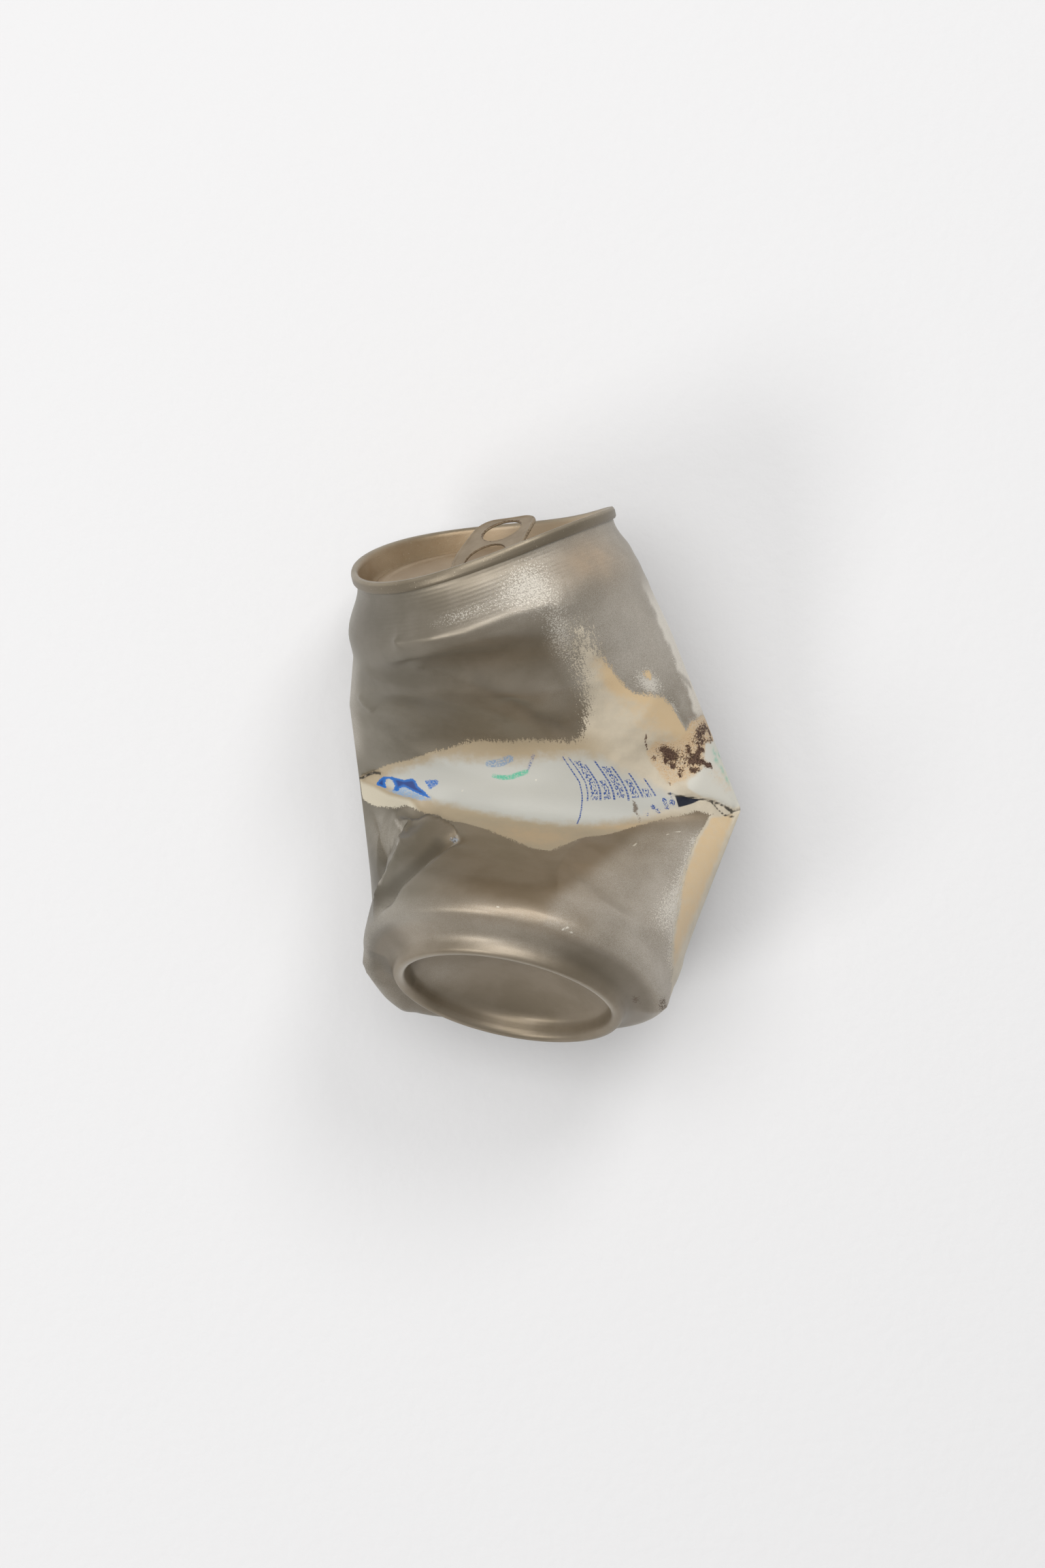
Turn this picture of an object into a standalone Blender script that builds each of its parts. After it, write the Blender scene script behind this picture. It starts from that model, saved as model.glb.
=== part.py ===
"""Crushed 350 ml drink can, kinked forward at mid-height and lying on its back.

Three pieces: the drawn cup (can_body), the seamed lid (can_end) and the ring-pull (pull_tab).
Frame: +Z up, +Y towards the lid, +X to the right of someone looking down with the lid away from
them, origin on the floor under the middle of the box. Lengths below are in millimetres, and MM
turns them into Blender's metres.

Every piece is first drawn as the can left the factory, in the can's own coordinates (radius or
x and y about the axis, and height above the base). Then crush() carries it to where the metal
went.
"""

import math

import bpy
import numpy as np
from mathutils import Matrix

MM = 0.001

# ---- the can before it was crushed ------------------------------------------------------------
HEIGHT = 122.0
WALL_RADIUS = 33.1
SHEET = 0.25
GAP = 0.3

STAND_RADIUS = 24.0
NOSE_RADIUS = 1.4
DOME_HEIGHT = 10.2
DOME_SPHERE = 45.0
DOME_EDGE_RADIUS = 20.6
HEEL_TOP = 9.0

SHOULDER_HEIGHT = 108.0
NECK_RADIUS = 28.7
SEAM_RADIUS = 29.5
SEAM_DEPTH = 2.5

PANEL_HEIGHT = HEIGHT - 4.4
COUNTERSINK_HEIGHT = HEIGHT - 6.3
CHUCK_RADIUS = 27.9
PANEL_RADIUS = 25.2
PANEL_DISH, DISH_RADIUS = 2.6, 23.0

# ---- the lid's mouth and rivet, and the ring-pull, measured from the rivet ----------------------
MOUTH_CENTRE = 12.6
MOUTH_HALF_WIDTH, MOUTH_HALF_DEPTH = 11.0, 8.7
FLAP_LENGTH, FLAP_BEND, FLAP_DROP = 15.0, 2.5, 68.0
RIVET_STEM, RIVET_HEAD, RIVET_RISE, HEAD_THICK = 1.5, 2.6, 1.3, 0.7

TAB_SWING, TAB_LIFT = 31.0, 22.0
TAB_RING_END, TAB_NOSE = 15.8, -6.4
TAB_HALF_WIDTH, TAB_CORNER = 8.4, 4.6
TAB_THICK, TONGUE_THICK = 0.9, 0.5
HINGE, HINGE_RISE = -3.6, 1.5
FINGER_CENTRE, FINGER_HALF_WIDTH, FINGER_HALF_LENGTH = 10.2, 4.6, 4.0
WINDOW_RADIUS, TONGUE_RADIUS = 4.7, 3.7
TAB_SEAT = 0.1

# ---- how it was crushed -----------------------------------------------------------------------
# Places below are measured from a point beside the fold. The middle of the finished can's box is
# here, and becomes the origin.
BOX_MIDDLE = (5.02, 1.91, 0.0)

FOLD_HEIGHT = 55.0
BASE_RIGID_TO = 12.0
LID_RIGID_FROM = 104.0

# Each end stays round: the centre of its plane, its turn about Z, and its lean towards +Z.
STAND_CENTRE, BASE_TURN, BASE_LEAN = (-3.4, -46.3, 49.3), -12.5, 22.0
RIM_CENTRE, LID_TURN, LID_LEAN = (-8.7, 52.8, 41.0), 13.4, 9.1

# Where the fold left the two ears, the bottom of the valley and the back of the can.
LEFT_EAR = (-35.9, 1.3, 26.0)
LEFT_SIDE_HEIGHT, LEFT_SIDE = 83.0, (-37.8, 17.5, 33.0)
RIGHT_EAR = (48.0, -5.6, 27.0)
VALLEY = (7.0, -7.5, 36.0)
VALLEY_TOP_HEIGHT, VALLEY_TOP = 67.5, (4.5, 5.5, 39.5)
BACK = (6.0, -2.5, -4.0)
WAIST_HEIGHT, WAIST = 17.0, (-32.3, -24.4, 42.0)
SIDE_BULGE_HEIGHT, SIDE_BULGE = 96.0, (32.2, 33.6, 37.0)
RIGHT_HEEL_HEIGHT, RIGHT_HEEL = 17.0, (34.4, -38.4, 43.5)

VALLEY_ROUNDING = 5.0
EAR_ROUNDING = 0.6
EAR_REACH = 22.0
RIM_TWIST = 1.9
RIM_LIFT, RIM_LIFT_ANGLE = 0.9, -12.0
HEEL_SAGS = ((222.0, 6.0, 5.0), (2.0, 8.0, 1.3))  # middle angle, narrowness, depth

# Dents in the wall: angle round the can (0 right, 90 front, 180 left) and height of the middle,
# half-length, half-width, slant of the length from level, and depth (below 0 it stands proud).
DENTS = (
    (100.0, 97.0, 34.0, 9.0, -8.0, 2.6),
    (62.0, 84.0, 26.0, 9.0, 38.0, 1.8),
    (120.0, 76.0, 24.0, 11.0, -25.0, 2.2),
    (48.0, 66.0, 14.0, 7.0, 20.0, 1.6),
    (140.0, 41.0, 16.0, 5.0, 62.0, 2.4),
    (155.0, 33.0, 14.0, 3.5, 70.0, 1.8),
    (60.0, 24.0, 14.0, 6.0, -30.0, 1.2),
    (2.0, 109.5, 9.0, 5.0, 0.0, 0.9),
    (0.0, 12.5, 13.0, 6.0, 0.0, -1.0),
)

# ---- mesh density -----------------------------------------------------------------------------
AROUND = 52
ALONG_STEP = 3.8


def clear_scene():
    for thing in list(bpy.data.objects):
        bpy.data.objects.remove(thing, do_unlink=True)


def smoothstep(low, high, x):
    t = np.clip((x - low) / (high - low), 0.0, 1.0)
    return t * t * (3.0 - 2.0 * t)


class EndFrame:
    """A round end of the can: its axis, its sideways direction and its front direction."""

    def __init__(self, centre, turn, lean, outward, height):
        turn, lean = math.radians(turn), math.radians(lean)
        self.side = np.array([math.cos(turn), math.sin(turn), 0.0])
        plan = np.array([-math.sin(turn), math.cos(turn), 0.0])
        up = np.array([0.0, 0.0, 1.0])
        self.axis = plan * math.cos(lean) + up * math.sin(lean) * outward
        self.front = np.cross(self.side, self.axis)
        self.centre = np.array(centre)
        self.height = height

    def at(self, height, side=0.0, front=0.0):
        height = np.asarray(height, float)[..., None]
        side = np.asarray(side, float)[..., None]
        front = np.asarray(front, float)[..., None]
        middle = self.centre + (height - self.height) * self.axis
        return middle + side * self.side + front * self.front


BASE = EndFrame(STAND_CENTRE, BASE_TURN, BASE_LEAN, -1.0, 0.0)
LID = EndFrame(RIM_CENTRE, LID_TURN, LID_LEAN, 1.0, HEIGHT)


def guide(side, front, knots):
    """The heights and points of one line that runs along the wall, rigid at both ends."""
    reach = 40.0
    heights = [-reach, BASE_RIGID_TO] + [knot[0] for knot in knots] + [LID_RIGID_FROM, HEIGHT + reach]
    points = [BASE.at(-reach, side, front), BASE.at(BASE_RIGID_TO, side, front)]
    points += [np.array(knot[1]) for knot in knots]
    points += [LID.at(LID_RIGID_FROM, side, front), LID.at(HEIGHT + reach, side, front)]
    return np.array(heights), np.array(points)


LEFT_KNOTS = [(WAIST_HEIGHT, WAIST), (FOLD_HEIGHT, LEFT_EAR), (LEFT_SIDE_HEIGHT, LEFT_SIDE)]
RIGHT_KNOTS = [(RIGHT_HEEL_HEIGHT, RIGHT_HEEL), (FOLD_HEIGHT, RIGHT_EAR), (SIDE_BULGE_HEIGHT, SIDE_BULGE)]
LEFT_LINE = guide(-WALL_RADIUS, 0.0, LEFT_KNOTS)
RIGHT_LINE = guide(WALL_RADIUS, 0.0, RIGHT_KNOTS)
FRONT_LINE = guide(0.0, WALL_RADIUS, [(FOLD_HEIGHT, VALLEY), (VALLEY_TOP_HEIGHT, VALLEY_TOP)])
BACK_LINE = guide(0.0, -WALL_RADIUS, [(FOLD_HEIGHT, BACK)])


def along(line, height, rounding):
    """A point on a guide line, with its corners rounded over that many millimetres each way."""
    heights, points = line
    offsets = np.linspace(-1.0, 1.0, 9)
    total = np.zeros(np.shape(height) + (3,))
    for offset in offsets:
        at = height + offset * rounding
        total += np.stack([np.interp(at, heights, points[:, axis]) for axis in range(3)], axis=-1)
    return total / len(offsets)


def folded(radius, angle, height):
    """The folded can without its small dents."""
    across, deep = np.cos(angle), np.abs(np.sin(angle))
    loose = smoothstep(BASE_RIGID_TO, BASE_RIGID_TO + 10.0, height)
    loose *= 1.0 - smoothstep(LID_RIGID_FROM - 10.0, LID_RIGID_FROM, height)
    left = along(LEFT_LINE, height, EAR_ROUNDING)
    right = along(RIGHT_LINE, height, EAR_ROUNDING)
    middle, half = (left + right) / 2.0, (right - left) / 2.0
    front = along(FRONT_LINE, height, VALLEY_ROUNDING) - middle
    back = along(BACK_LINE, height, VALLEY_ROUNDING) - middle

    # The section is a circle at the ends. Towards the fold its front flattens to a lens and its
    # back to a trough, so that the two meet in a pointed ear on each side.
    near_fold = np.exp(-((height - FOLD_HEIGHT) / EAR_REACH) ** 2) * loose
    front_swell = deep ** (1.0 + 0.75 * near_fold)
    back_swell = deep ** (1.0 + 0.35 * near_fold)
    is_front = (np.sin(angle) >= 0.0)[..., None]
    swell = np.where(is_front, front_swell[..., None] * front, back_swell[..., None] * back)
    point = middle + (radius / WALL_RADIUS)[..., None] * (across[..., None] * half + swell)

    # The rim is twisted out of its plane like a saddle and lifted on the right, and the heel sags.
    twist = RIM_TWIST * (radius / SEAM_RADIUS) ** 2 * np.sin(2.0 * angle)
    twist = twist * smoothstep(SHOULDER_HEIGHT - 12.0, HEIGHT - 6.0, height)
    lift = RIM_LIFT * np.clip(np.cos(angle - math.radians(RIM_LIFT_ANGLE)), 0.0, 1.0) ** 8
    twist = twist + lift * (radius / SEAM_RADIUS) ** 2 * smoothstep(SHOULDER_HEIGHT, HEIGHT - 3.0, height)
    point = point + twist[..., None] * LID.axis
    sag = sum(
        depth * np.clip(np.cos(angle - math.radians(middle)), 0.0, 1.0) ** narrowness
        for middle, narrowness, depth in HEEL_SAGS
    )
    sag = sag * smoothstep(25.0, 31.5, radius) * (1.0 - smoothstep(8.0, 26.0, height))
    return point - sag[..., None] * BASE.axis


def dent_depth(angle, height):
    """How far the dents push the wall in, at an angle and a height of the round can."""
    depth = np.zeros_like(height)
    for at_angle, at_height, length, width, slant, push in DENTS:
        turn = (angle - math.radians(at_angle) + math.pi) % (2.0 * math.pi) - math.pi
        level, rise = -turn * WALL_RADIUS, height - at_height
        c, s = math.cos(math.radians(slant)), math.sin(math.radians(slant))
        reach = ((level * c + rise * s) / length) ** 2 + ((rise * c - level * s) / width) ** 2
        depth += push * np.clip(1.0 - reach, 0.0, 1.0) ** 1.5
    return depth


def crush(x, y, height):
    """Where a point of the round can ends up: x to its side, y to its front, height up its axis."""
    x, y, height = (np.asarray(value, float) for value in np.broadcast_arrays(x, y, height))
    radius, angle = np.hypot(x, y), np.arctan2(y, x)
    inside = np.clip(WALL_RADIUS - radius, 0.0, SHEET)
    loose = smoothstep(BASE_RIGID_TO, BASE_RIGID_TO + 8.0, height)
    loose *= 1.0 - smoothstep(SHOULDER_HEIGHT - 8.0, SHOULDER_HEIGHT, height)
    point = folded(radius + inside * loose, angle, height)

    step = 0.02
    wall = np.full_like(radius, WALL_RADIUS)
    round_it = folded(wall, angle + step, height) - folded(wall, angle - step, height)
    up_it = folded(wall, angle, height + step) - folded(wall, angle, height - step)
    outward = np.cross(up_it, round_it)
    outward /= np.linalg.norm(outward, axis=-1)[..., None]
    soft = smoothstep(HEEL_TOP - 3.0, HEEL_TOP + 3.0, height)
    soft *= 1.0 - smoothstep(SHOULDER_HEIGHT + 3.0, SHOULDER_HEIGHT + 8.0, height)
    point = point - (dent_depth(angle, height) * soft + inside * loose)[..., None] * outward

    # The back is pressed flat where the can lies on it.
    point[..., 2] = np.maximum(point[..., 2], inside)
    return point


# ---- profiles of the round can, as (radius, height) -------------------------------------------
def arc(centre, radius, start, end, steps):
    angles = np.radians(np.linspace(start, end, steps))
    return [(centre[0] + radius * math.cos(a), centre[1] + radius * math.sin(a)) for a in angles]


def body_profile():
    """The outside of the cup, from the edge of the neck down the wall to the middle of the dome."""
    neck_top = HEIGHT - 2.0 * SHEET - 0.2
    points = [(NECK_RADIUS, neck_top), (NECK_RADIUS, HEIGHT - SEAM_DEPTH - 0.6)]
    drop = points[-1][1] - SHOULDER_HEIGHT
    for share in np.linspace(0.0, 1.0, 7)[1:]:
        bend = share * share * (3.0 - 2.0 * share)
        points.append((NECK_RADIUS + bend * (WALL_RADIUS - NECK_RADIUS), points[1][1] - share * drop))
    count = int(round((SHOULDER_HEIGHT - HEEL_TOP) / ALONG_STEP))
    points += [(WALL_RADIUS, float(h)) for h in np.linspace(SHOULDER_HEIGHT, HEEL_TOP, count + 1)[1:]]
    points += [(32.7, 7.5), (31.6, 6.3), (29.0, 5.0), (27.0, 4.1), (26.0, 3.3)]
    points += arc((STAND_RADIUS, NOSE_RADIUS), NOSE_RADIUS, 15.0, -180.0, 6)
    points += [(22.3, 3.6)]
    sink = DOME_SPHERE - math.sqrt(DOME_SPHERE ** 2 - DOME_EDGE_RADIUS ** 2)
    points += [(21.9, DOME_HEIGHT - sink - 0.8)]
    for radius in np.linspace(DOME_EDGE_RADIUS, 4.0, 6):
        sink = DOME_SPHERE - math.sqrt(DOME_SPHERE ** 2 - radius ** 2)
        points.append((float(radius), DOME_HEIGHT - sink))
    return points + [(0.0, DOME_HEIGHT)]


def end_profile():
    """The outside of the lid, from the lower edge of the seam over the rim to the rivet's head."""
    top, bottom = HEIGHT, HEIGHT - SEAM_DEPTH
    head_base = PANEL_HEIGHT + RIVET_RISE
    return [
        (SEAM_RADIUS, bottom), (SEAM_RADIUS, top - 0.5), (SEAM_RADIUS - 0.4, top),
        (CHUCK_RADIUS + 0.4, top), (CHUCK_RADIUS, top - 0.5),
        (CHUCK_RADIUS - 0.6, COUNTERSINK_HEIGHT + 1.2), (CHUCK_RADIUS - 1.0, COUNTERSINK_HEIGHT + 0.3),
        (CHUCK_RADIUS - 1.5, COUNTERSINK_HEIGHT), (CHUCK_RADIUS - 2.0, COUNTERSINK_HEIGHT + 0.4),
        (PANEL_RADIUS + 0.3, PANEL_HEIGHT - 0.4), (PANEL_RADIUS - 0.3, PANEL_HEIGHT),
        (20.0, PANEL_HEIGHT), (14.0, PANEL_HEIGHT), (8.0, PANEL_HEIGHT), (RIVET_STEM, PANEL_HEIGHT),
        (RIVET_STEM, head_base), (RIVET_HEAD, head_base), (RIVET_HEAD, head_base + HEAD_THICK - 0.2),
        (RIVET_HEAD - 0.3, head_base + HEAD_THICK), (0.0, head_base + HEAD_THICK),
    ]


def inset(profile, depth):
    """The same profile moved inwards by the sheet's thickness, corner by corner."""
    points = np.array(profile)
    step = np.diff(points, axis=0)
    normal = np.stack([step[:, 1], -step[:, 0]], axis=1)
    normal /= np.linalg.norm(normal, axis=1)[:, None]
    before = np.vstack([normal[:1], normal])
    after = np.vstack([normal, normal[-1:]])
    mitre = before + after
    mitre /= (mitre * before).sum(axis=1)[:, None]
    moved = points + depth * mitre
    moved[-1, 0] = 0.0
    return moved


def revolved(outer, depth, around):
    """Vertices and faces of a thin sheet turned about the axis, open at the profile's first point.

    The sheet lies to the right of the profile, or to its left where depth is below 0.
    """
    skins = [np.array(outer), inset(outer, depth)]
    verts, faces, rings = [], [], []
    for skin in skins:
        own = []
        for radius, height in skin[:-1]:
            own.append(len(verts))
            for i in range(around):
                angle = 2.0 * math.pi * i / around
                verts.append((radius * math.cos(angle), radius * math.sin(angle), height))
        pole = len(verts)
        verts.append((0.0, 0.0, skin[-1][1]))
        rings.append((own, pole))

    def band(a, b, flip):
        for i in range(around):
            j = (i + 1) % around
            quad = (a + i, b + i, b + j, a + j)
            faces.append(quad[::-1] if flip else quad)

    for (own, pole), flip in zip(rings, (False, True)):
        for a, b in zip(own, own[1:]):
            band(a, b, flip)
        for i in range(around):
            j = (i + 1) % around
            fan = (own[-1] + i, pole, own[-1] + j)
            faces.append(fan[::-1] if flip else fan)
    band(rings[1][0][0], rings[0][0][0], False)
    return np.array(verts), [face[::-1] for face in faces] if depth < 0.0 else faces


def material(name, colour, roughness, metallic):
    made = bpy.data.materials.new(name)
    made.use_nodes = True
    shader = made.node_tree.nodes["Principled BSDF"]
    shader.inputs["Base Color"].default_value = (*colour, 1.0)
    shader.inputs["Roughness"].default_value = roughness
    shader.inputs["Metallic"].default_value = metallic
    return made


def add_object(name, mesh, look):
    made = bpy.data.objects.new(name, mesh)
    bpy.context.scene.collection.objects.link(made)
    mesh.materials.clear()
    mesh.materials.append(look)
    mesh.shade_smooth()
    mesh.set_sharp_from_angle(angle=math.radians(35.0))
    return made


def crush_mesh(mesh):
    """Crush a mesh. Side, front and up the axis are left-handed, so its faces turn over."""
    flat = np.array([vertex.co[:] for vertex in mesh.vertices])
    moved = (crush(flat[:, 0], flat[:, 1], flat[:, 2]) - np.array(BOX_MIDDLE)) * MM
    mesh.vertices.foreach_set("co", moved.ravel())
    mesh.flip_normals()
    mesh.update()


def build_body():
    verts, faces = revolved(body_profile(), SHEET, AROUND)
    mesh = bpy.data.meshes.new("can_body")
    mesh.from_pydata(verts, [], faces)
    crush_mesh(mesh)
    return add_object("can_body", mesh, material("dusty_paint", (0.33, 0.29, 0.24), 0.45, 0.3))


def prism(name, outline, low, high):
    """A closed plate between two heights, with the given outline, counter-clockwise from above."""
    count = len(outline)
    verts = [(x, y, low) for x, y in outline] + [(x, y, high) for x, y in outline]
    faces = [tuple(range(count))[::-1], tuple(range(count, 2 * count))]
    faces += [(i, (i + 1) % count, (i + 1) % count + count, i + count) for i in range(count)]
    mesh = bpy.data.meshes.new(name)
    mesh.from_pydata(verts, [], faces)
    made = bpy.data.objects.new(name, mesh)
    bpy.context.scene.collection.objects.link(made)
    return made


def combine(target, tool, operation):
    """Apply one exact boolean to target's mesh and remove the tool."""
    modifier = target.modifiers.new("shape", "BOOLEAN")
    modifier.operation, modifier.object, modifier.solver = operation, tool, "EXACT"
    bpy.context.view_layer.update()
    whole = target.evaluated_get(bpy.context.evaluated_depsgraph_get())
    mesh = bpy.data.meshes.new_from_object(whole)
    target.modifiers.clear()
    target.data = mesh
    bpy.data.objects.remove(tool, do_unlink=True)


def ellipse(centre, half_x, half_y, count, start=0.0, end=360.0):
    angles = [math.radians(start + (end - start) * i / count) for i in range(count)]
    return [(centre[0] + half_x * math.cos(a), centre[1] + half_y * math.sin(a)) for a in angles]


def dish(radius):
    """How far the crush pushed the lid's panel in, at a distance from its middle."""
    return PANEL_DISH * max(0.0, 1.0 - (radius / DISH_RADIUS) ** 2) ** 1.5


def flap_object():
    """The torn-open mouth panel: still joined at one side of the mouth and bent in under the lid."""
    hinge_x = -MOUTH_HALF_WIDTH + 0.6
    bend = math.radians(FLAP_DROP)
    straight = FLAP_LENGTH - FLAP_BEND * bend
    path = [(-2.6, 0.0, 0.0), (0.0, 0.0, 0.0)]
    for share in (0.25, 0.5, 0.75, 1.0):
        turned = bend * share
        path.append((FLAP_BEND * math.sin(turned), FLAP_BEND * (math.cos(turned) - 1.0), turned))
    for share in (0.3, 0.6, 0.85, 1.0):
        run = straight * share
        path.append((path[5][0] + run * math.cos(bend), path[5][1] - run * math.sin(bend), bend))
    half_widths = (3.6, 4.2, 4.8, 5.4, 5.9, 6.3, 6.8, 6.4, 4.9, 2.6)
    verts, faces = [], []
    top = PANEL_HEIGHT - 0.08
    for (run, drop, turned), half in zip(path, half_widths):
        for side, depth in ((-1, 0.0), (1, 0.0), (1, SHEET), (-1, SHEET)):
            x = hinge_x + run - depth * math.sin(turned)
            verts.append((x, MOUTH_CENTRE + side * half, top + drop - depth * math.cos(turned)))
    for i in range(len(path) - 1):
        a, b = 4 * i, 4 * i + 4
        faces += [(a + k, a + (k + 1) % 4, b + (k + 1) % 4, b + k) for k in range(4)]
    last = 4 * len(path) - 4
    faces += [(0, 3, 2, 1), (last, last + 1, last + 2, last + 3)]
    mesh = bpy.data.meshes.new("flap")
    mesh.from_pydata(verts, [], [face[::-1] for face in faces])
    made = bpy.data.objects.new("flap", mesh)
    bpy.context.scene.collection.objects.link(made)
    return made


def build_end():
    verts, faces = revolved(end_profile(), -SHEET, AROUND)
    mesh = bpy.data.meshes.new("can_end")
    mesh.from_pydata(verts, [], faces)
    made = add_object("can_end", mesh, material("lid_paint", (0.36, 0.31, 0.25), 0.4, 0.3))
    mouth = ellipse((0.0, MOUTH_CENTRE), MOUTH_HALF_WIDTH, MOUTH_HALF_DEPTH, 27, 4.0, 364.0)
    combine(made, prism("mouth", mouth, PANEL_HEIGHT - 1.5, PANEL_HEIGHT + 1.5), "DIFFERENCE")
    combine(made, flap_object(), "UNION")
    for vertex in made.data.vertices:
        vertex.co.z -= dish(math.hypot(vertex.co.x, vertex.co.y))
    crush_mesh(made.data)
    return made


def tab_outline():
    """The ring-pull seen square on: a round-cornered finger end and a narrower blunt nose."""
    top, half, corner = TAB_RING_END, TAB_HALF_WIDTH, TAB_CORNER
    shrink = 0.6
    points = ellipse((half - shrink - corner, top - corner), corner, corner, 6, 0.0, 90.0)
    points += ellipse((-half + shrink + corner, top - corner), corner, corner, 6, 90.0, 180.0)
    points += [(-half + shrink, top - corner), (-half, 3.0), (-half + 0.3, -1.0)]
    points += ellipse((0.0, -1.5), half - 0.6, -TAB_NOSE - 1.5, 12, 180.0, 360.0)
    return points + [(half - 0.6, -1.5), (half - 0.3, -1.0), (half, 3.0)]


def tongue_object():
    """The tab's riveted tongue: flat under the rivet's head, then bent up to meet the lifted tab."""
    low, high, end = GAP, GAP + TONGUE_THICK, HINGE - 1.0
    side = [(TONGUE_RADIUS, low), (TONGUE_RADIUS, high), (-2.4, high), (HINGE, HINGE_RISE + TONGUE_THICK)]
    side += [(end, HINGE_RISE + TONGUE_THICK), (end, HINGE_RISE + 0.1), (HINGE, HINGE_RISE + 0.1), (-2.2, low)]
    made = prism("tongue", [(height, y) for y, height in side], -TONGUE_RADIUS - 1.0, TONGUE_RADIUS + 1.0)
    upright = Matrix(((0.0, 0.0, 1.0, 0.0), (0.0, 1.0, 0.0, 0.0), (-1.0, 0.0, 0.0, 0.0), (0.0, 0.0, 0.0, 1.0)))
    made.data.transform(Matrix.Rotation(math.pi, 4, "Y") @ upright)
    half = TONGUE_RADIUS
    outline = ellipse((0.0, 0.0), half, half, 14, 0.0, 180.0)
    outline += [(-half, 0.0), (-half, end - 1.0), (half, end - 1.0)]
    combine(made, prism("tongue_outline", outline, -1.0, 4.0), "INTERSECT")
    hole = ellipse((0.0, 0.0), RIVET_STEM + GAP, RIVET_STEM + GAP, 20)
    combine(made, prism("rivet_hole", hole, -1.0, 4.0), "DIFFERENCE")
    return made


def build_tab():
    lift = Matrix.Translation((0.0, HINGE, HINGE_RISE)) @ Matrix.Rotation(math.radians(TAB_LIFT), 4, "X")
    lift = lift @ Matrix.Translation((0.0, -HINGE, 0.0))
    made = prism("pull_tab", tab_outline(), 0.0, TAB_THICK)
    finger = ellipse((0.0, FINGER_CENTRE), FINGER_HALF_WIDTH, FINGER_HALF_LENGTH, 24)
    combine(made, prism("finger_hole", finger, -1.0, 3.0), "DIFFERENCE")
    window = ellipse((0.0, 0.0), WINDOW_RADIUS, WINDOW_RADIUS, 16, 0.0, 192.0)
    window = [point for point in window if point[1] > -1.0]
    window += [(-WINDOW_RADIUS, HINGE), (WINDOW_RADIUS, HINGE)]
    combine(made, prism("window", window, -1.0, 3.0), "DIFFERENCE")
    made.data.transform(lift)
    combine(made, tongue_object(), "UNION")

    made.data.transform(Matrix.Rotation(math.radians(180.0 + TAB_SWING), 4, "Z"))
    made.data.transform(Matrix.Translation((0.0, 0.0, PANEL_HEIGHT - PANEL_DISH + TAB_SEAT)))
    crush_mesh(made.data)
    mesh = made.data
    bpy.data.objects.remove(made, do_unlink=True)
    return add_object("pull_tab", mesh, material("tab_paint", (0.38, 0.33, 0.27), 0.4, 0.3))


def main():
    clear_scene()
    build_body()
    build_end()
    build_tab()


main()
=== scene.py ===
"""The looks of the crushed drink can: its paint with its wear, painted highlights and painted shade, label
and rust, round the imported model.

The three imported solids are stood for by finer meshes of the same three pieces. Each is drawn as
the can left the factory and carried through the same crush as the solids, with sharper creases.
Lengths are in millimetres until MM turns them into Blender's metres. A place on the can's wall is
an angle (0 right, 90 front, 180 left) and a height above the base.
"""

import math

import bpy
import numpy as np
from mathutils import Matrix, Vector


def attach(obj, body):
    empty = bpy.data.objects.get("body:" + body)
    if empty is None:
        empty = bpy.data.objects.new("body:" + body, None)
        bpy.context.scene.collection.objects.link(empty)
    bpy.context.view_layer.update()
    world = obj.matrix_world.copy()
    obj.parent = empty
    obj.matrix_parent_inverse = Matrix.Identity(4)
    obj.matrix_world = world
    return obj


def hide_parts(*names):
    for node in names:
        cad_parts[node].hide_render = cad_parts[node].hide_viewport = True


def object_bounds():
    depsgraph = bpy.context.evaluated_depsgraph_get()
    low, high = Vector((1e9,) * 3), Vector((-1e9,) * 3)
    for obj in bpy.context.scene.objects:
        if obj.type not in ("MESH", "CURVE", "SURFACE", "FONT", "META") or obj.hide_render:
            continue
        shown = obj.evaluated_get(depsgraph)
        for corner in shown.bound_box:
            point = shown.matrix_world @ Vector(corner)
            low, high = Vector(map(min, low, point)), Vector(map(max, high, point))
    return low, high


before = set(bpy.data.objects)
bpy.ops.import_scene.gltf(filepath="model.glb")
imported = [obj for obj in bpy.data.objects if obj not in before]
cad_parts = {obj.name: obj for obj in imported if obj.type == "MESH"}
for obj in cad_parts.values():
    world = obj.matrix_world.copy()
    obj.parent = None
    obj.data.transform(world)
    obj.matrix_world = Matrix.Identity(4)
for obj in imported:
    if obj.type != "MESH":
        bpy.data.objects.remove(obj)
CAD_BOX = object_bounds()

MM = 0.001

# ---- the can before it was crushed ------------------------------------------------------------
HEIGHT = 122.0
WALL_RADIUS = 33.1
SHEET = 0.25

STAND_RADIUS = 24.0
NOSE_RADIUS = 1.4
DOME_HEIGHT = 10.2
DOME_SPHERE = 45.0
DOME_EDGE_RADIUS = 20.6
HEEL_TOP = 9.0

SHOULDER_HEIGHT = 108.0
NECK_RADIUS = 28.7
SEAM_RADIUS = 29.5
SEAM_DEPTH = 2.5

PANEL_HEIGHT = HEIGHT - 4.4
COUNTERSINK_HEIGHT = HEIGHT - 6.3
CHUCK_RADIUS = 27.9
PANEL_RADIUS = 25.2
PANEL_DISH, DISH_RADIUS = 2.6, 23.0

MOUTH_CENTRE = 12.6
MOUTH_HALF_WIDTH, MOUTH_HALF_DEPTH = 11.0, 8.7
FLAP_LENGTH, FLAP_BEND, FLAP_DROP = 15.0, 2.5, 68.0
RIVET_STEM, RIVET_HEAD, RIVET_RISE, HEAD_THICK = 1.5, 2.6, 1.3, 0.7

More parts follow.
